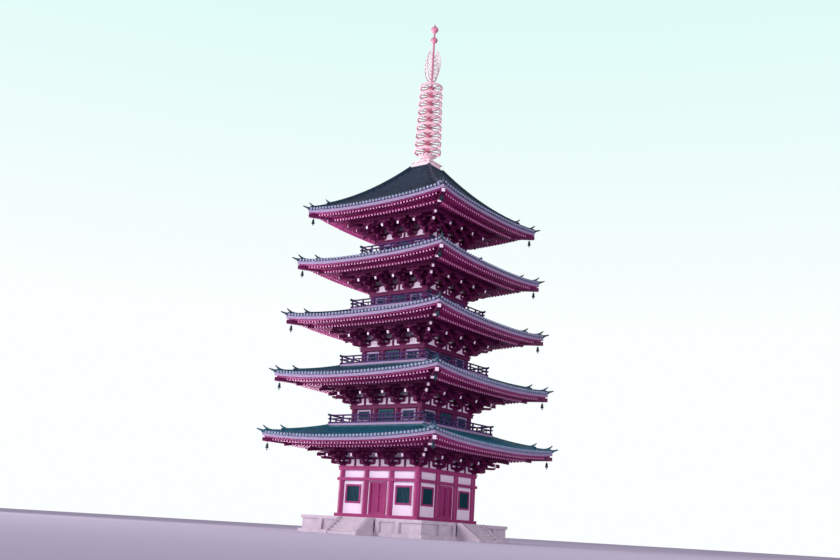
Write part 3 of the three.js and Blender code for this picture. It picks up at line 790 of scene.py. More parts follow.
def rails(s):
    """Sill and head rails that clasp the posts, and the plates on top of them. The ground storey
    has one rail more, over its doors."""
    door_low, door_high = openings(s)[0]
    sill_out = 0.32 if s.k else 0.38
    parts = [
        band(s.body + sill_out, s.body - 0.2, s.floor + 0.001, door_low - 0.02),
        band(s.body + 0.28, s.body - 0.2, s.wall_top - 0.34, s.wall_top - 0.1),
        band(s.body + 0.34, s.body - 0.26, s.wall_top - 0.1, s.wall_top),
    ]
    if s.k == 0:
        parts.append(band(s.body + 0.34, s.body - 0.1, door_high + 0.06, door_high + 0.3))
    return join(*parts)


def wall_panels(s):
    """The filled part of each bay round its opening: below, above and beside it."""
    (door_low, door_high), (window_low, window_high) = openings(s)
    y0, y1 = -s.body - 0.05, -s.body + 0.2
    top = s.wall_top - 0.2
    parts = []
    door = (0, door_low, door_high, DOOR_SHARE)
    windows = [(side * s.bay, window_low, window_high, WINDOW_SHARE) for side in (-1, 1)]
    for centre, low, high, share in [door, *windows]:
        half, open_half = s.bay / 2, share * s.bay / 2
        fields = [(-half, half, s.floor + 0.01, low), (-half, half, high, top)]
        fields += [(-half, -open_half, low, high), (open_half, half, low, high)]
        parts += [box(centre + x0, centre + x1, y0, y1, z0, z1) for x0, x1, z0, z1 in fields]
    return four_sides(join(*parts))


# %% Windows and doors
LATTICE_GAP = 0.13
WINDOW_FRAME = 0.15
DOOR_FRAME = 0.08
LEAF_FRAME = 0.09
FRAME_HALF = 0.07


def opening_frame(centre, half, low, high, y, thick):
    """A frame round an opening: two jambs, a head and a sill."""
    left, right = centre - half, centre + half
    between = left + thick, right - thick
    bars_of_frame = [
        (left, left + thick, low, high),
        (right - thick, right, low, high),
        (*between, high - thick, high),
        (*between, low, low + thick),
    ]
    front, back = y - FRAME_HALF, y + FRAME_HALF
    return join(*[box(x0, x1, front, back, z0, z1) for x0, x1, z0, z1 in bars_of_frame])


def window_bars(s):
    """Upright square lattice bars in both windows of every side."""
    low, high = openings(s)[1]
    half = WINDOW_SHARE * s.bay / 2 - WINDOW_FRAME
    count = int(2 * half / LATTICE_GAP)
    x = (np.arange(count) + 0.5) / count * 2 * half - half
    x = np.concatenate([x - s.bay, x + s.bay])
    start = along_side(x, -s.body - 0.06, low + 0.08)
    end = start + [0, 0, high - low - 0.16]
    return four_sides(bars(start, end, 0.06, 0.06))


def window_frames(s):
    """The frames of both windows of every side."""
    low, high = openings(s)[1]
    half = WINDOW_SHARE * s.bay / 2
    sizes = half, low, high, -s.body - 0.05, WINDOW_FRAME
    return four_sides(join(*[opening_frame(centre, *sizes) for centre in (-s.bay, s.bay)]))


def door_leaves(s):
    """Two leaves a side: stiles and rails that stand out from thin panels."""
    low, high = openings(s)[0]
    half = DOOR_SHARE * s.bay / 2
    y = -s.body - 0.03
    parts = [opening_frame(0, half, low, high, y, DOOR_FRAME)]
    foot, head = low + DOOR_FRAME, high - DOOR_FRAME
    for side in (-1, 1):
        x0, x1 = sorted((side * 0.01, side * (half - DOOR_FRAME)))
        parts.append(box(x0, x1, y + 0.02, y + 0.06, foot, head))
        parts.append(opening_frame((x0 + x1) / 2, (x1 - x0) / 2, foot, head, y - 0.01, LEAF_FRAME))
        for share in (0.38, 0.62) if s.k == 0 else (0.5,):
            z = low + share * (high - low)
            parts.append(box(x0, x1, y - 0.06, y + 0.04, z - 0.05, z + 0.05))
    return four_sides(join(*parts))


ground_finish = {
    "wood": (crimson, "lacquer"),
    "panels": (plaster, "plaster"),
    "window": (crimson, "lacquer"),
    "door": (crimson, "lacquer"),
}
# The upper storeys take the darker copies, which are painted shade: plum wood, darker boards and lavender
# frames.
upper_finish = {
    "wood": (painted_shade_plum, "lacquer"),
    "panels": (painted_shade_crimson, "lacquer"),
    "window": (painted_shade_lavender, "plaster"),
    "door": (teal, "lattice"),
}
for s in tower:
    n = s.number
    finish = upper_finish if s.k else ground_finish
    walls = [f"walls_{n}"] if s.k else ["frame_1"]
    piece(f"posts_{n}", posts(s), *finish["wood"], walls)
    piece(f"rails_{n}", rails(s), *finish["wood"])
    panels = piece(f"wall_panels_{n}", wall_panels(s), *finish["panels"])
    piece(f"window_bars_{n}", window_bars(s), teal, "lattice")
    piece(f"window_frames_{n}", window_frames(s), *finish["window"])
    leaves = piece(f"door_leaves_{n}", door_leaves(s), *finish["door"])
    if s.k == 0:
        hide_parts("walls_1")
        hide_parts("doors_front", "doors_right", "doors_back", "doors_left")
for name in ["window_boards_1"] + [f"door_and_window_boards_{s.number}" for s in tower[1:]]:
    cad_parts[name].material_slots[0].material = teal
tell("walls, windows and doors")

# %% [markdown]
# ## Bracket sets
# Over every post a set of blocks and arms steps out three times to carry the purlin under the
# rafters. Bearing blocks taper towards their foot, and arms have rounded lower corners. One set is
# made for each storey, and copies of it stand over all its posts; the corners have a third one on
# the diagonal. White plaster shows between the sets, in the shape of a stepped triangle.

# %% One bracket set
ROOT2 = math.sqrt(2)
BLOCK_PROFILE = [(0.74, 0), (1, 0.42), (1, 1)]
ARM_WIDTH = 0.2
ARM_BACK = 0.12
END_CAP = 0.02


def bearing_block(x, y, z, size, height):
    """A block whose lower part narrows to about three quarters of its width: at each level of the
    profile, a square of that share of the size."""
    ring = np.array([(-0.5, -0.5), (0.5, -0.5), (0.5, 0.5), (-0.5, 0.5)]) * size
    width, level = np.array(BLOCK_PROFILE).T[:, :, None]
    across, out = ring.T
    return stacked(np.stack([x + width * across, y + width * out, z + level * height + 0 * across], -1))


def rounded_end(x0, x1, low, high):
    """The lower corner of an arm's end: a quarter of an ellipse from the underside at x0 up to the
    end at x1, then straight up. Points are (x, z)."""
    turn = np.linspace(0, np.pi / 2, 4)
    middle = low + 0.5 * (high - low)
    curve = np.stack([x0 + (x1 - x0) * np.sin(turn), low + (middle - low) * (1 - np.cos(turn))], -1)
    return np.vstack([curve, (x1, high)])


def arm(half, z, depth, y=0.0, flat=0.6):
    """An arm along the wall, y away from it, whose underside is flat for part of its half length
    and then curves up to both ends."""
    outline = mirrored(rounded_end(flat * half, half, z, z + depth))
    return moved(plate(outline, ARM_WIDTH), 0, y, 0)


def arm_out(reach, z, depth, width=ARM_WIDTH):
    """An arm that steps out along -y from behind the wall line, rounded at its end."""
    end = rounded_end(reach - 0.3, reach, z, z + depth)
    return spun(plate([(-ARM_BACK, z + depth), (-ARM_BACK, z), *end], width), [-90])


STEPS = [0.66, 1.32, 2.0]
TAIL = {"foot": (-0.1, 1.42), "end": (2.26, 0.76)}
CORNER_TAILS = [{"foot": (0.0, 1.2), "end": (1.68, 0.82)}, {"foot": (0.6, 1.5), "end": (2.27, 1.18)}]
TAIL_WIDTH = 0.2
TAIL_DEPTH = 0.25


def tail(ends, stretch=1.0):
    """A slanting tail along -y and its white end face: (distance outwards, height) of both ends."""
    foot, end = [np.array([0, -y * stretch, z]) for y, z in (ends["foot"], ends["end"])]
    along = (end - foot) / np.linalg.norm(end - foot)
    body = bars(foot, end, TAIL_WIDTH, TAIL_DEPTH)
    return body, bars(end, end + END_CAP * along, TAIL_WIDTH - 0.01, TAIL_DEPTH - 0.01)


def blocks(places, y, z, size, height):
    """Bearing blocks at several places along the wall."""
    return [bearing_block(x, y, z, size, height) for x in places]


def bracket_set(bay):
    """Blocks and arms over one post: arms along the wall grow longer from tier to tier, so what
    shows of the plaster between two sets is a triangle. Others step out along -y, and a slanting
    tail over them carries the outermost block and arm."""
    first, second = 0.31 * bay + 0.04, 0.495 * bay
    one, two, three = STEPS
    low = [arm(first, 0.14, 0.26), arm_out(one + 0.16, 0.14, 0.26)]
    low += blocks((-first + 0.13, 0, first - 0.13), 0, 0.4, 0.26, 0.14)
    low += blocks((0,), -one, 0.4, 0.28, 0.14)
    middle = [arm(second, 0.54, 0.2, flat=0.3), arm(0.56, 0.54, 0.2, y=-one)]
    middle += [arm_out(two + 0.16, 0.54, 0.22)]
    middle += blocks((-second + 0.12, 0, second - 0.12), 0, 0.74, 0.24, 0.12)
    middle += blocks((-0.44, 0, 0.44), -one, 0.74, 0.24, 0.12) + blocks((0,), -two, 0.76, 0.28, 0.14)
    high = [arm(0.8, 0.86, 0.2, y=-one, flat=0.4), arm(0.56, 0.9, 0.18, y=-two)]
    high += [arm(0.66, 1.12, 0.16, y=-three)]
    high += blocks((-0.44, 0.44), -two, 1.08, 0.22, 0.1) + blocks((0,), -three, 0.99, 0.28, 0.14)
    high += blocks((-0.52, 0, 0.52), -three, 1.28, 0.22, 0.08)
    return join(bearing_block(0, 0, 0, 0.56, 0.22), *low, *middle, *high, tail(TAIL)[0])


def corner_set():
    """The third set over a corner post: only what steps out along the diagonal, with two tails."""
    one, two, three = [ROOT2 * step for step in STEPS]
    parts = [arm_out(one + 0.2, 0.14, 0.26, 0.24), arm_out(two + 0.16, 0.5, 0.2, 0.24)]
    parts += blocks((0,), -one, 0.38, 0.32, 0.14) + blocks((0,), -two - 0.3, 0.72, 0.3, 0.3)
    parts += blocks((0,), -three, 1.24, 0.34, 0.24)
    return join(*parts, *[tail(ends, ROOT2)[0] for ends in CORNER_TAILS])


def over_posts(s, one, diagonal):
    """The straight set over every post of every side, and the diagonal one at the corners. Two
    straight sets cross at a corner, so those of the left and right sides are a hair larger, and no
    two faces lie in one plane."""
    places = along_side(s.posts, -s.body, s.wall_top)
    larger = SimpleNamespace(points=one.points * [1.015, 1.015, 1.005], tables=one.tables)
    corner = np.array([(s.body, -s.body, s.wall_top)])
    front_and_back = spun(copies(one, places, 0), [0, 180])
    left_and_right = spun(copies(larger, places, 0), [90, 270])
    return join(front_and_back, left_and_right, four_sides(copies(diagonal, corner, 45)))


def purlins(s):
    """Continuous beams on the wall line, on the two inner steps and at the outer step."""
    z = s.wall_top
    beams = [(0.0, 1.12, 1.32), (STEPS[0], 1.1, 1.3), (STEPS[1], 1.16, 1.34)]
    rings = [band(s.body + out + 0.1, s.body + out - 0.1, z + low, z + high) for out, low, high in beams]
    outer = s.body + PURLIN_OUT
    top = base_rafter_height(s, outer + 0.12, 0)
    rings.append(band(outer + 0.12, outer - 0.12, top - 0.3, top - 0.002))
    return join(*rings)


def bracket_ceiling(s):
    """Level boards between the inner beams, and sloping ones from them up to the purlin."""
    z = s.wall_top
    inner, outer = s.body + STEPS[1], s.body + PURLIN_OUT
    under, over = z + 1.34, z + 1.38
    slope = [(inner, under, 0), (outer, z + 1.52, 0), (outer, z + 1.56, 0), (inner, over, 0)]
    return join(band(inner, s.body - 0.1, under, over), square_ring(slope))


def bracket_plaster(s):
    """The plastered wall behind the bracket sets."""
    z = s.wall_top
    return band(s.body + 0.06, s.body - 0.06, z + 0.002, z + 1.36)


def struts(s):
    """A short post with its block in the middle of the bays: in every one on the two wide lower
    storeys, only in the middle one above."""
    x = (s.posts[:-1] + s.posts[1:]) / 2
    if s.k > 1:
        x = x[1:2]
    one = join(box(-0.09, 0.09, -0.13, 0.06, 0, 0.86), bearing_block(0, -0.06, 0.84, 0.26, 0.14))
    return four_sides(copies(one, along_side(x, -s.body, s.wall_top), 0))


for s in tower:
    n = s.number
    sets = join(over_posts(s, bracket_set(s.bay), corner_set()), struts(s))
    piece(f"bracket_sets_{n}", sets, painted_shade_plum, "lacquer", [f"brackets_{n}"])
    tail_ends = join(*[tail(ends, ROOT2)[1] for ends in CORNER_TAILS])
    piece(f"bracket_ends_{n}", over_posts(s, tail(TAIL)[1], tail_ends), white, "plaster")
    piece(f"purlins_{n}", purlins(s), painted_shade_plum, "lacquer")
    piece(f"bracket_ceiling_{n}", bracket_ceiling(s), painted_shade_crimson, "lacquer")
    piece(f"bracket_plaster_{n}", bracket_plaster(s), plaster, "plaster")
tell("brackets")

# %% [markdown]
# ## Rafters and eaves
# Two tiers of parallel rafters carry the eaves, each with a pale end. Near the corners they grow
# shorter, because they stop at the hip beam on the diagonal. Boards close the eaves above them,
# and thick fascia boards, a pale one on top, finish the edge under the tiles.

# %% Rafters and the boards above them
RAFTER_GAP = 0.33
RAFTER_WIDTH = 0.13
RAFTER_DEPTH = 0.15
HIP_BEAM_ROOM = 0.3
HIP_CLEARANCE = 0.16
BOARD_THICKNESS = 0.04


def rafter_lines(s, x, height, inner, tip):
    """Start and end of the underside of a rafter at each x: from the inner line, or from the
    diagonal where that is further out, to the tip."""
    start = np.maximum(inner, np.abs(x) + HIP_CLEARANCE)
    ends = []
    for half in (start, np.full_like(x, tip)):
        ends.append(np.stack([x, -half, height(s, half, x / half)], -1))
    return ends


def rafter_places(tip):
    """Even places along a side, symmetric about its middle, that leave room for the hip beam."""
    count = int((tip - HIP_BEAM_ROOM) / RAFTER_GAP)
    return (np.arange(-count, count) + 0.5) * RAFTER_GAP


TIERS = {
    "base": (base_rafter_height, lambda s: s.body + 0.1, lambda s: s.base_tip),
    "flying": (flying_rafter_height, lambda s: s.base_tip - 0.3, lambda s: s.fly_tip),
}


def rafters(s, tier):
    """One tier of rafters on all sides, and their pale end caps."""
    height, inner, tip = TIERS[tier]
    start, end = rafter_lines(s, rafter_places(tip(s)), height, inner(s), tip(s))
    middle = [0, 0, RAFTER_DEPTH / 2]
    along = (end - start) / np.linalg.norm(end - start, axis=1, keepdims=True)
    bodies = bars(start + middle, end + middle, RAFTER_WIDTH, RAFTER_DEPTH)
    outside = end + middle + END_CAP * along
    caps = bars(end + middle, outside, RAFTER_WIDTH - 0.01, RAFTER_DEPTH - 0.01)
    return four_sides(bodies), four_sides(caps)


def eave_boards(s, tier):
    """The boards that lie on one tier of rafters."""
    height, inner, tip = TIERS[tier]
    x = np.linspace(-1, 1, 41) * (tip(s) - 0.22)
    start, end = rafter_lines(s, x, height, inner(s), tip(s))
    sheet = start[None] + np.linspace(0, 1, 4)[:, None, None] * (end - start)[None]
    return four_sides(slab(sheet + [0, 0, RAFTER_DEPTH], BOARD_THICKNESS))


# %% Hip beams, fascia boards and the pale board
FASCIA_BACK = 0.24


def hip_beams(s):
    """The two stepped beams under each hip, on the diagonal, and their white ends."""
    runs = [
        (base_rafter_height, s.body + PURLIN_OUT + 0.05, s.base_tip + 0.15, -0.06, 0.28, 0.32),
        (flying_rafter_height, s.base_tip - 0.2, s.eave - 0.12, -0.17, 0.32, 0.3),
    ]
    beams, ends = [], []
    for height, inner, outer, drop, depth, width in runs:
        halves = np.array([inner, outer])
        z = height(s, halves, 1.0) + drop + depth / 2
        start, end = along_side(ROOT2 * halves, 0, z)
        along = (end - start) / np.linalg.norm(end - start)
        beams.append(bars(start, end, width, depth))
        ends.append(bars(end, end + END_CAP * along, width - 0.02, depth - 0.02))
    return at_corners(join(*beams)), at_corners(join(*ends))


def fascias(s):
    """The board over the lower rafters' tips, and the fascia board on the upper ones, which stands
    a little behind the pale board."""
    tip_z = base_rafter_height(s, s.base_tip, 0) + RAFTER_DEPTH
    base_share = eave_share(s, s.base_tip)
    front, back = s.eave - FASCIA_BACK, s.fly_tip - 0.12
    low = flying_rafter_height(s, s.fly_tip, 0) + RAFTER_DEPTH
    high = s.eave_z - 0.2
    profile = [
        (front, low, eave_share(s, front)),
        (front, high, 1),
        (back, high, 1),
        (back, low + 0.01, eave_share(s, back)),
    ]
    lower_board = band(s.base_tip + 0.02, s.base_tip - 0.14, tip_z, tip_z + 0.1, base_share)
    return join(lower_board, square_ring(profile))


def pale_board(s):
    """The pale board right under the tiles."""
    return band(s.eave - 0.08, s.eave - FASCIA_BACK + 0.01, s.eave_z - 0.4, s.eave_z - 0.12, 1)


for s in tower:
    n = s.number
    base_bodies, base_caps = rafters(s, "base")
    flying_bodies, flying_caps = rafters(s, "flying")
    beams, beam_ends = hip_beams(s)
    piece(f"rafters_{n}", join(base_bodies, flying_bodies), crimson, "lacquer", [f"eaves_{n}"])
    piece(f"rafter_ends_{n}", join(base_caps, flying_caps), pink_white, "plaster")
    piece(f"hip_beam_ends_{n}", beam_ends, white, "plaster")
    over_rafters = join(eave_boards(s, "base"), eave_boards(s, "flying"))
    piece(f"eave_boards_{n}", over_rafters, painted_shade_crimson, "lacquer")
    piece(f"hip_beams_{n}", beams, painted_shade_plum, "lacquer")
    piece(f"fascia_boards_{n}", fascias(s), crimson, "lacquer")
    # The pale board's lavender is painted shade on white paint.
    piece(f"pale_eave_board_{n}", pale_board(s), painted_shade_lavender, "plaster")
tell("eaves")

# %% [markdown]
# ## Tiled roofs
# Rows of half-round tiles run down the slope over wide, shallow ones. Each row ends at the eaves
# in a round disc. A row near a corner is short, because it starts at the hip. All rows of one side
# are one array: position across, station along the row, point of the half circle.

# %% Rows of round tiles
TILE_GAP = 0.36
TILE_RADIUS = 0.1
TILE_SUNK = 0.05
TILE_PAST_EAVE = 0.03
BED_THICKNESS = 0.1
LIP_SHARE = 0.42
ROW_STATIONS = 9
HIP_ROOM = 0.3


def half_count(s):
    """How many rows fit on one half of a side, up to the hip."""
    return int((s.eave - HIP_ROOM) / TILE_GAP)


def tile_rows(s):
    """Half-round rows: at each station a half circle across x, over the roof's height there, with
    a flat underside and closed ends."""
    count = half_count(s)
    x = (np.arange(-count, count) + 0.5) * TILE_GAP
    top_half = np.maximum(np.abs(x) + 0.12, s.roof_inner + 0.02)
    v = np.linspace(0, 1, ROW_STATIONS)
    half = s.eave + TILE_PAST_EAVE + (top_half[:, None] - s.eave - TILE_PAST_EAVE) * v
    angle = np.linspace(0, np.pi, 5)
    across = TILE_RADIUS * np.cos(angle)
    over = TILE_RADIUS * np.sin(angle)
    ground = roof_height(s, half, np.abs(x)[:, None] / half) - TILE_SUNK
    grids = x[:, None, None] + across, -half[:, :, None], ground[:, :, None] + over
    points = np.stack(np.broadcast_arrays(*grids), -1)
    section = points.shape[2]
    sides, caps = body_faces(ROW_STATIONS, section)
    rows = section * ROW_STATIONS * np.arange(len(x))[:, None, None]
    made = shape(points, (sides + rows).reshape(-1, 4), (caps + rows).reshape(-1, section))
    return four_sides(made), x


def roof_bed(s):
    """The wide tiles between the rows, as one hollow-curved sheet with the eaves' lift, closed
    below."""
    halves = np.linspace(s.eave, s.roof_inner, 13)
    t = np.clip((s.eave - halves) / (s.eave - s.roof_inner), 0, 1)
    height = roof_height(s, halves, 0) - TILE_SUNK
    top = np.stack([halves, height, (1 - t) ** LIFT_FADE], -1)
    bottom = top[::-1] - [0, BED_THICKNESS, 0]
    bottom[-1] = s.eave - 0.03, s.eave_z - 0.14, 1
    return square_ring(np.concatenate([top, bottom]))


def eave_discs(s, x):
    """Round end tiles: a disc with a raised rim and a low boss, one at the foot of each row."""
    r = TILE_RADIUS + 0.015
    boss = [(0, 0.035), (0.4 * r, 0.03), (0.5 * r, 0.015)]
    outline = [*boss, (0.74 * r, 0.015), (0.8 * r, 0.04), (r, 0.04), (r, -0.06), (0, -0.06)]
    disc = turned(outline[::-1], 10)
    upright = SimpleNamespace(points=disc.points[:, [0, 2, 1]] * [1, -1, 1], tables=disc.tables)
    z = s.eave_z + lift(x / s.eave) - TILE_SUNK + 0.01
    return four_sides(copies(upright, along_side(x, -s.eave - 0.05, z), 0))


def eave_lips(s):
    """The sagging front edges of the wide tiles, between the discs."""
    count = half_count(s)
    x = np.arange(-count + 1, count) * TILE_GAP
    u = np.linspace(-1, 1, 5)
    sag = 0.05 * (1 - u**2)
    lower = np.stack([u * TILE_GAP * LIP_SHARE, -0.055 - sag], -1)
    upper = np.stack([u[::-1] * TILE_GAP * LIP_SHARE, 0.01 - 0.4 * sag], -1)
    lip = plate(np.concatenate([lower, upper]), 0.05)
    z = s.eave_z + lift(x / s.eave) - TILE_SUNK
    return four_sides(copies(lip, along_side(x, -s.eave - 0.03, z), 0))


# %% Hip ridges with their horns
HIP_LAYERS = [(0.19, 0.0), (0.19, 0.05), (0.15, 0.06), (0.15, 0.09), (0.18, 0.1), (0.18, 0.15)]
HIP_TOP = [(0.15, 0.16), (0.15, 0.2), (0.17, 0.21), (0.17, 0.25)]
HIP_SUNK = 0.1


def ridge_outline(high):
    """Cross-section of a ridge: courses of flat tiles, with joints set back between them."""
    return mirrored(HIP_LAYERS + (HIP_TOP if high else [])) - [0, HIP_SUNK]


def hip_point(s, t):
    """A point over the hip, (distance along the diagonal, height): t runs from the eaves up."""
    half = s.eave + (s.roof_inner - s.eave) * np.asarray(t, float)
    return np.stack([ROOT2 * half, roof_height(s, half, 1.0)], -1)


def ridge_run(s, t0, t1, high):
    """The outline carried along the hip between two stations, kept upright."""
    path = hip_point(s, np.linspace(t0, t1, 12))
    out, level = path.T[:, :, None]
    side, up = ridge_outline(high).T
    return stacked(np.stack(np.broadcast_arrays(out, side, level + up), -1)), path


def horn(foot, reach, rise, radius):
    """An upturned end of round tiles: from the foot it runs outwards and bends up to its tip."""
    bend = np.linspace(0, 1, 9)[:, None]
    curve = np.array(foot) + np.concatenate([reach * bend, rise * bend**1.8], 1)
    return tube(curve, radius * (1 - 0.65 * bend[:, 0] ** 1.5), 10)


def hip_ridges(s):
    """Two tiers of ridge, each with round cap tiles on top, an end plate and an upturned horn, and
    the long corner tile that runs out to a tip below them; then the pale faces of the end plates,
    whose paleness is a painted highlight."""
    share = 1 / ROOT2 / (s.eave - s.roof_inner)
    first, second = 0.3 * share, 1.75 * share
    start = 0.985 if s.last else 1 - 0.02 / (s.eave - s.roof_inner)
    corner = hip_point(s, 0.0)
    parts, highlight_faces = [horn(corner + [-0.5, -0.02], 0.9, 0.2, 0.13)], []
    for t0, t1, high, rise in ((first, second + 0.02, False, 0.4), (second, start, True, 0.36)):
        run, path = ridge_run(s, t0, t1, high)
        top = ridge_outline(high)[:, 1].max()
        parts += [run, tube(path + [0, top + 0.02], 0.09)]
        parts.append(horn(path[0] + [-0.55, top + 0.03], 0.72, rise, 0.12))
        wide = 0.34 if high else 0.3
        face = mirrored([(wide, -0.12), (wide * 1.1, 0.04), (wide * 0.8, top), (0.08, top + 0.1)])
        for made, size, thickness, out in ((parts, 1.0, 0.1, 0.02), (highlight_faces, 0.92, 0.05, 0.065)):
            end_plate = spun(plate(face * size + [0, (1 - size) * 0.1], thickness), [90])
            made.append(moved(end_plate, path[0][0] + out, 0, path[0][1]))
    return at_corners(join(*parts)), at_corners(join(*highlight_faces))


def top_flashing(s):
    """The ridge of tiles where the roof meets the storey above, or the finial."""
    inner = s.roof_inner
    z = s.roof_top - 0.02
    return band(inner + 0.14, inner - 0.1, z - 0.16, z if s.last else z + 0.1)


for s in tower:
    n = s.number
    rows, across = tile_rows(s)
    piece(f"tile_rows_{n}", rows, tile, "roof_tile", [f"roof_{n}"])
    piece(f"roof_bed_{n}", roof_bed(s), ridge_tile, "roof_tile")
    # The end discs are pale for a painted highlight; the lips between them keep the tile glaze.
    piece(f"tile_end_discs_{n}", eave_discs(s, across), painted_highlight_tile, "roof_tile")
    piece(f"tile_end_lips_{n}", eave_lips(s), tile, "roof_tile")
    ridges, ridge_faces = hip_ridges(s)
    piece(f"hip_ridges_{n}", join(ridges, top_flashing(s)), ridge_tile, "roof_tile")
    piece(f"ridge_end_faces_{n}", ridge_faces, painted_highlight_tile, "roof_tile")
tell("roofs")

# %% [markdown]
# ## Balconies
# Each upper storey has a narrow balcony. Its edge is white paint greyed to lavender, painted
# shade, and its rail, dark violet for painted shade, has a square foot rail, a thinner middle rail
# and a round top rail. The rails cross at the corners and run past them, and the top rails' ends
# are capped with dark metal.

# %% Balcony floors and rails
RAIL_HEIGHT = 0.78
RAIL_PAST_CORNER = 0.26
RAIL_INSET = 0.16
RAIL_BAYS = 7


def balcony_floor(s):
    """The floor boards, from the wall out to the edge."""
    half = s.balcony - 0.04
    return join(
        box(-half, half, -half, half, s.floor - 0.1, s.floor),
        band(s.balcony - 0.14, s.balcony - 0.5, s.floor - SLAB, s.floor - 0.101),
    )


def balcony_edge(s):
    """The pale edge board and the ends of the joists under it."""
    x = np.linspace(-s.balcony + 0.3, s.balcony - 0.3, 17)
    start = along_side(x, -s.balcony + 0.14, s.floor - 0.245)
    joists = bars(start, start + [0, -0.07, 0], 0.1, 0.07)
    return join(band(s.balcony, s.balcony - 0.06, s.floor - 0.17, s.floor + 0.005), four_sides(joists))


def railing(s):
    """Foot, middle and top rails with short posts between them, on every side."""
    line = s.balcony - RAIL_INSET
    reach = line + RAIL_PAST_CORNER
    z = s.floor
    bend = np.linspace(-1, 1, 15)
    rise = 0.07 * np.clip((np.abs(bend) * reach - line) / RAIL_PAST_CORNER, 0, 1) ** 1.5
    path = np.stack([bend * reach, z + RAIL_HEIGHT - 0.07 + rise], -1)
    foot = along_side(np.linspace(-line, line, RAIL_BAYS + 1)[:-1], -line, z + 0.1)
    low = along_side(np.linspace(-line, line, 2 * RAIL_BAYS + 1)[1::2], -line, z + 0.1)
    return four_sides(
        join(
            bars((-reach + 0.08, -line, z + 0.08), (reach - 0.08, -line, z + 0.08), 0.14, 0.16),
            bars((-reach + 0.04, -line, z + 0.43), (reach - 0.04, -line, z + 0.43), 0.1, 0.1),
            moved(tube(path, 0.07), 0, -line, 0),
            bars(foot, foot + [0, 0, RAIL_HEIGHT - 0.2], 0.12, 0.12),
            bars(low, low + [0, 0, 0.34], 0.08, 0.08),
        )
    )


def rail_caps(s):
    """Dark metal sleeves on the ends of the top rails."""
    line = s.balcony - RAIL_INSET
    reach = line + RAIL_PAST_CORNER
    z = s.floor + RAIL_HEIGHT
    x = np.array([(-reach - 0.01, -reach + 0.12), (reach + 0.01, reach - 0.12)])
    sleeves = [tube([(a, z + 0.005), (b, z - 0.03)], 0.082, 10) for a, b in x]
    return four_sides(moved(join(*sleeves), 0, -line, 0))


for s in tower[1:]:
    n = s.number
    piece(f"balcony_boards_{n}", balcony_floor(s), painted_shade_crimson, "lacquer", [f"balcony_floor_{n}"])
    piece(f"balcony_edge_{n}", balcony_edge(s), painted_shade_lavender, "plaster")
    piece(f"balcony_rails_{n}", railing(s), painted_shade_rail_paint, "lacquer", [f"balcony_railing_{n}"])
    piece(f"rail_caps_{n}", rail_caps(s), bronze, "roof_tile")
tell("balconies")

# %% [markdown]
# ## Wind bells
# A bronze bell hangs near the tip of every corner beam. It is a turned shell with a thick lip, a
# rod down its middle and a small plate below that catches the wind.

# %% Bells
BELL_OUTSIDE = [(0, 0), (0.045, 0), (0.075, -0.03), (0.1, -0.12), (0.108, -0.24), (0.135, -0.36)]
BELL_LIP = [(0.155, -0.42), (0.14, -0.42)]
BELL_INSIDE = [(0.115, -0.34), (0.08, -0.22), (0.07, -0.08), (0, -0.05)]


def bells(s):
    """The four bells of a storey with their hooks, rods and wind plates."""
    x = ROOT2 * s.eave - 0.62
    top = flying_rafter_height(s, x / ROOT2, 1.0) - 0.3
    vane = [(-0.07, -0.58), (0.07, -0.58), (0.05, -0.48), (-0.05, -0.48)]
    bell = join(
        moved(turned(BELL_OUTSIDE + BELL_LIP + BELL_INSIDE, 14), x, 0, top),
        bars((x, 0, top - 0.02), (x, 0, top + 0.3), 0.03, 0.03),
        bars((x, 0, top - 0.06), (x, 0, top - 0.5), 0.02, 0.02),
        moved(plate(vane, 0.015), x, 0, top),
    )
    return at_corners(bell)


for s in tower:
    piece(f"wind_bells_{s.number}", bells(s), bronze, "roof_tile")
tell("wind bells")

# %% [markdown]
# ## The finial
# On the top roof stand a square basin, an upturned bowl and a lotus. A mast rises from them
# through nine rings to an openwork flame, a ball and a pointed jewel.

# %% Basin, bowl and lotus
RINGS = 9
FIRST_RING = 35.0
RING_SPACING = 0.815
FIRST_RING_RADIUS = 1.26
LAST_RING_RADIUS = 1.08
LOTUS_TOP = 34.6
FLAME_FOOT = 42.1
FLAME_TOP = 45.5
BALL_MIDDLE = 46.55
JEWEL_MIDDLE = 47.68
MAST_RADIUS = 0.13


def finial_base():
    """A stepped square basin, a half-round bowl, and a row of petals round a cup."""
    z = ROOF_TOP
    steps = [(0.98, 0, 0.08), (0.9, 0.08, 0.4), (1.04, 0.4, 0.48), (0.96, 0.48, 0.56)]
    basin = [box(-h, h, -h, h, z + low, z + high) for h, low, high in steps]
    arc = np.linspace(0, np.pi / 2, 8)
    bowl = turned(np.stack([0.08 + 0.7 * np.cos(arc), z + 0.56 + 0.42 * np.sin(arc)], -1), 28)
    foot = [(0.2, z + 0.9), (0.28, z + 0.98), (0.5, z + 1.06)]
    cup = turned([*foot, (0.72, LOTUS_TOP - 0.06), (0.72, LOTUS_TOP)], 28)
    u = np.linspace(-1, 1, 7)[:, None]
    v = np.linspace(0, 1, 6)[None, :]
    wide = 0.2 * np.sqrt(np.clip(1 - (2 * v - 1) ** 4 * 0.9, 0, 1)) * u
    out = 0.5 + 0.42 * v**1.4 - 0.05 * u**2
    petal_sheet = np.stack([out + 0 * u, wide, z + 1.02 + 0.26 * v + 0 * u], -1)
    return join(*basin, bowl, cup, spun(slab(petal_sheet, 0.03), 30 * np.arange(12)))


piece("basin_bowl_and_lotus", finial_base(), pale_gilt, "gilt_metal", ["finial_base"])
tell("basin, bowl and lotus")

# %% Nine rings on the mast
HOOP_SECTION = [(-0.02, -0.13), (0, -0.12), (0, 0.12), (-0.02, 0.13), (-0.1, 0.05), (-0.1, -0.05)]


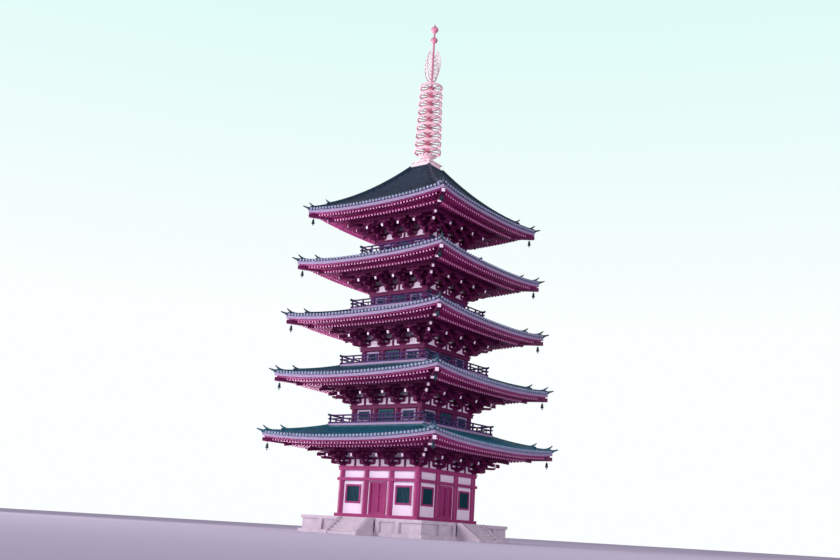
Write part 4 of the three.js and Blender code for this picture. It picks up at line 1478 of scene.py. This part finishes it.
def ring_at(n):
    """One ring: an upright hoop, flat outside and swelling to its middle inside; then the spokes,
    hub and small bells that go with it."""
    z = FIRST_RING + n * RING_SPACING
    r = FIRST_RING_RADIUS + (LAST_RING_RADIUS - FIRST_RING_RADIUS) * n / (RINGS - 1)
    angle = np.linspace(0, 2 * np.pi, 33)[:-1]
    out, up = np.array(HOOP_SECTION).T
    around = angle[:, None]
    hoop = np.stack([(r + out) * np.cos(around), (r + out) * np.sin(around), z + up + 0 * around], -1)
    spoke = bars((MAST_RADIUS, 0, z), (r - 0.06, 0, z), 0.08, 0.07)
    small_bell = turned([(0, -0.16), (0.05, -0.16), (0.025, -0.04), (0, -0.04)], 6)
    bell = moved(small_bell, r - 0.06, 0, z - 0.08)
    hub = turned([(0.13, z - 0.14), (0.24, z - 0.1), (0.24, z + 0.1), (0.13, z + 0.14)], 16)
    return closed_loop(hoop), join(spun(join(spoke, bell), 45 * np.arange(8)), hub)


hoops, spokes = zip(*[ring_at(n) for n in range(RINGS)])
mast = turned([(MAST_RADIUS, LOTUS_TOP + 0.001), (MAST_RADIUS * 0.8, FLAME_TOP)], 16)
piece("nine_rings", join(*hoops), gilt, "gilt_metal", ["finial_rings"])
piece("ring_spokes_and_bells", join(*spokes), rose_gilt, "gilt_metal")
piece("mast", mast, rose_gilt, "gilt_metal")
tell("mast and rings")

# %% The openwork flame and the jewels


def strip(path, width):
    """A flat strip along a path in the x-z plane: half its width to each side, square to it."""
    forward = np.gradient(path, axis=0)
    forward /= np.linalg.norm(forward, axis=1, keepdims=True)
    out = np.stack([forward[:, 1], -forward[:, 0]], -1) * np.broadcast_to(width, len(path))[:, None] / 2
    return plate(np.concatenate([path + out, (path - out)[::-1]]), 0.05)


def flame():
    """Four wings. The outer edge of a wing swells like a sine and leans back to the mast, and
    seven tongues swing out and up from the mast to meet it, each narrower towards its end."""
    height = FLAME_TOP - FLAME_FOOT
    edge = np.linspace(0.02, 0.93, 22)
    out = 0.14 + 0.76 * np.sin(np.pi * edge**1.2) ** 0.55
    outline = np.stack([out, FLAME_FOOT + 0.08 + (height - 0.1) * edge**1.15], -1)
    v = np.linspace(0, 1, 9)
    tongues = []
    for z in np.linspace(FLAME_FOOT + 0.2, FLAME_TOP - 0.75, 7):
        end = np.interp(z + 0.7, outline[:, 1], outline[:, 0])
        path = np.stack([0.1 + (end - 0.12) * np.sin(0.5 * np.pi * v), z + 0.7 * v**1.7], -1)
        tongues.append(strip(path, 0.11 - 0.06 * v))
    return four_sides(join(strip(outline, 0.08), *tongues))


def jewels():
    """A flattened ball, and above it the jewel drawn out to a point."""
    arc = np.linspace(-np.pi / 2, np.pi / 2, 9)
    ball = np.stack([0.1 + 0.24 * np.cos(arc), BALL_MIDDLE + 0.25 * np.sin(arc)], -1)
    drop = np.stack([0.36 * np.cos(arc[:-1]) ** 0.9, JEWEL_MIDDLE + 0.3 * np.sin(arc[:-1])], -1)
    neck = [(0.09, 46.95), (0.09, 47.3), (0.16, 47.36)]
    point = [(0.1, 48.05), (0, TOWER_TOP)]
    return turned([(0.1, FLAME_TOP + 0.002), *ball, *neck, *drop[1:], *point], 20)


piece("openwork_flame", flame(), pale_gilt, "gilt_metal", ["finial_flame"])
piece("ball_and_jewel", jewels(), rose_gilt, "gilt_metal", ["finial_jewels"])
tell("flame and jewels")

# %% [markdown]
# ## Measure and finish
# The count of triangles is printed, with the piece that holds the most. The dressed tower must
# stay inside the box of the solids.

# %% Sizes and the last line
largest = max(piece.triangles, key=piece.triangles.get)
print("triangles:", sum(piece.triangles.values()), "most in:", largest, piece.triangles[largest])
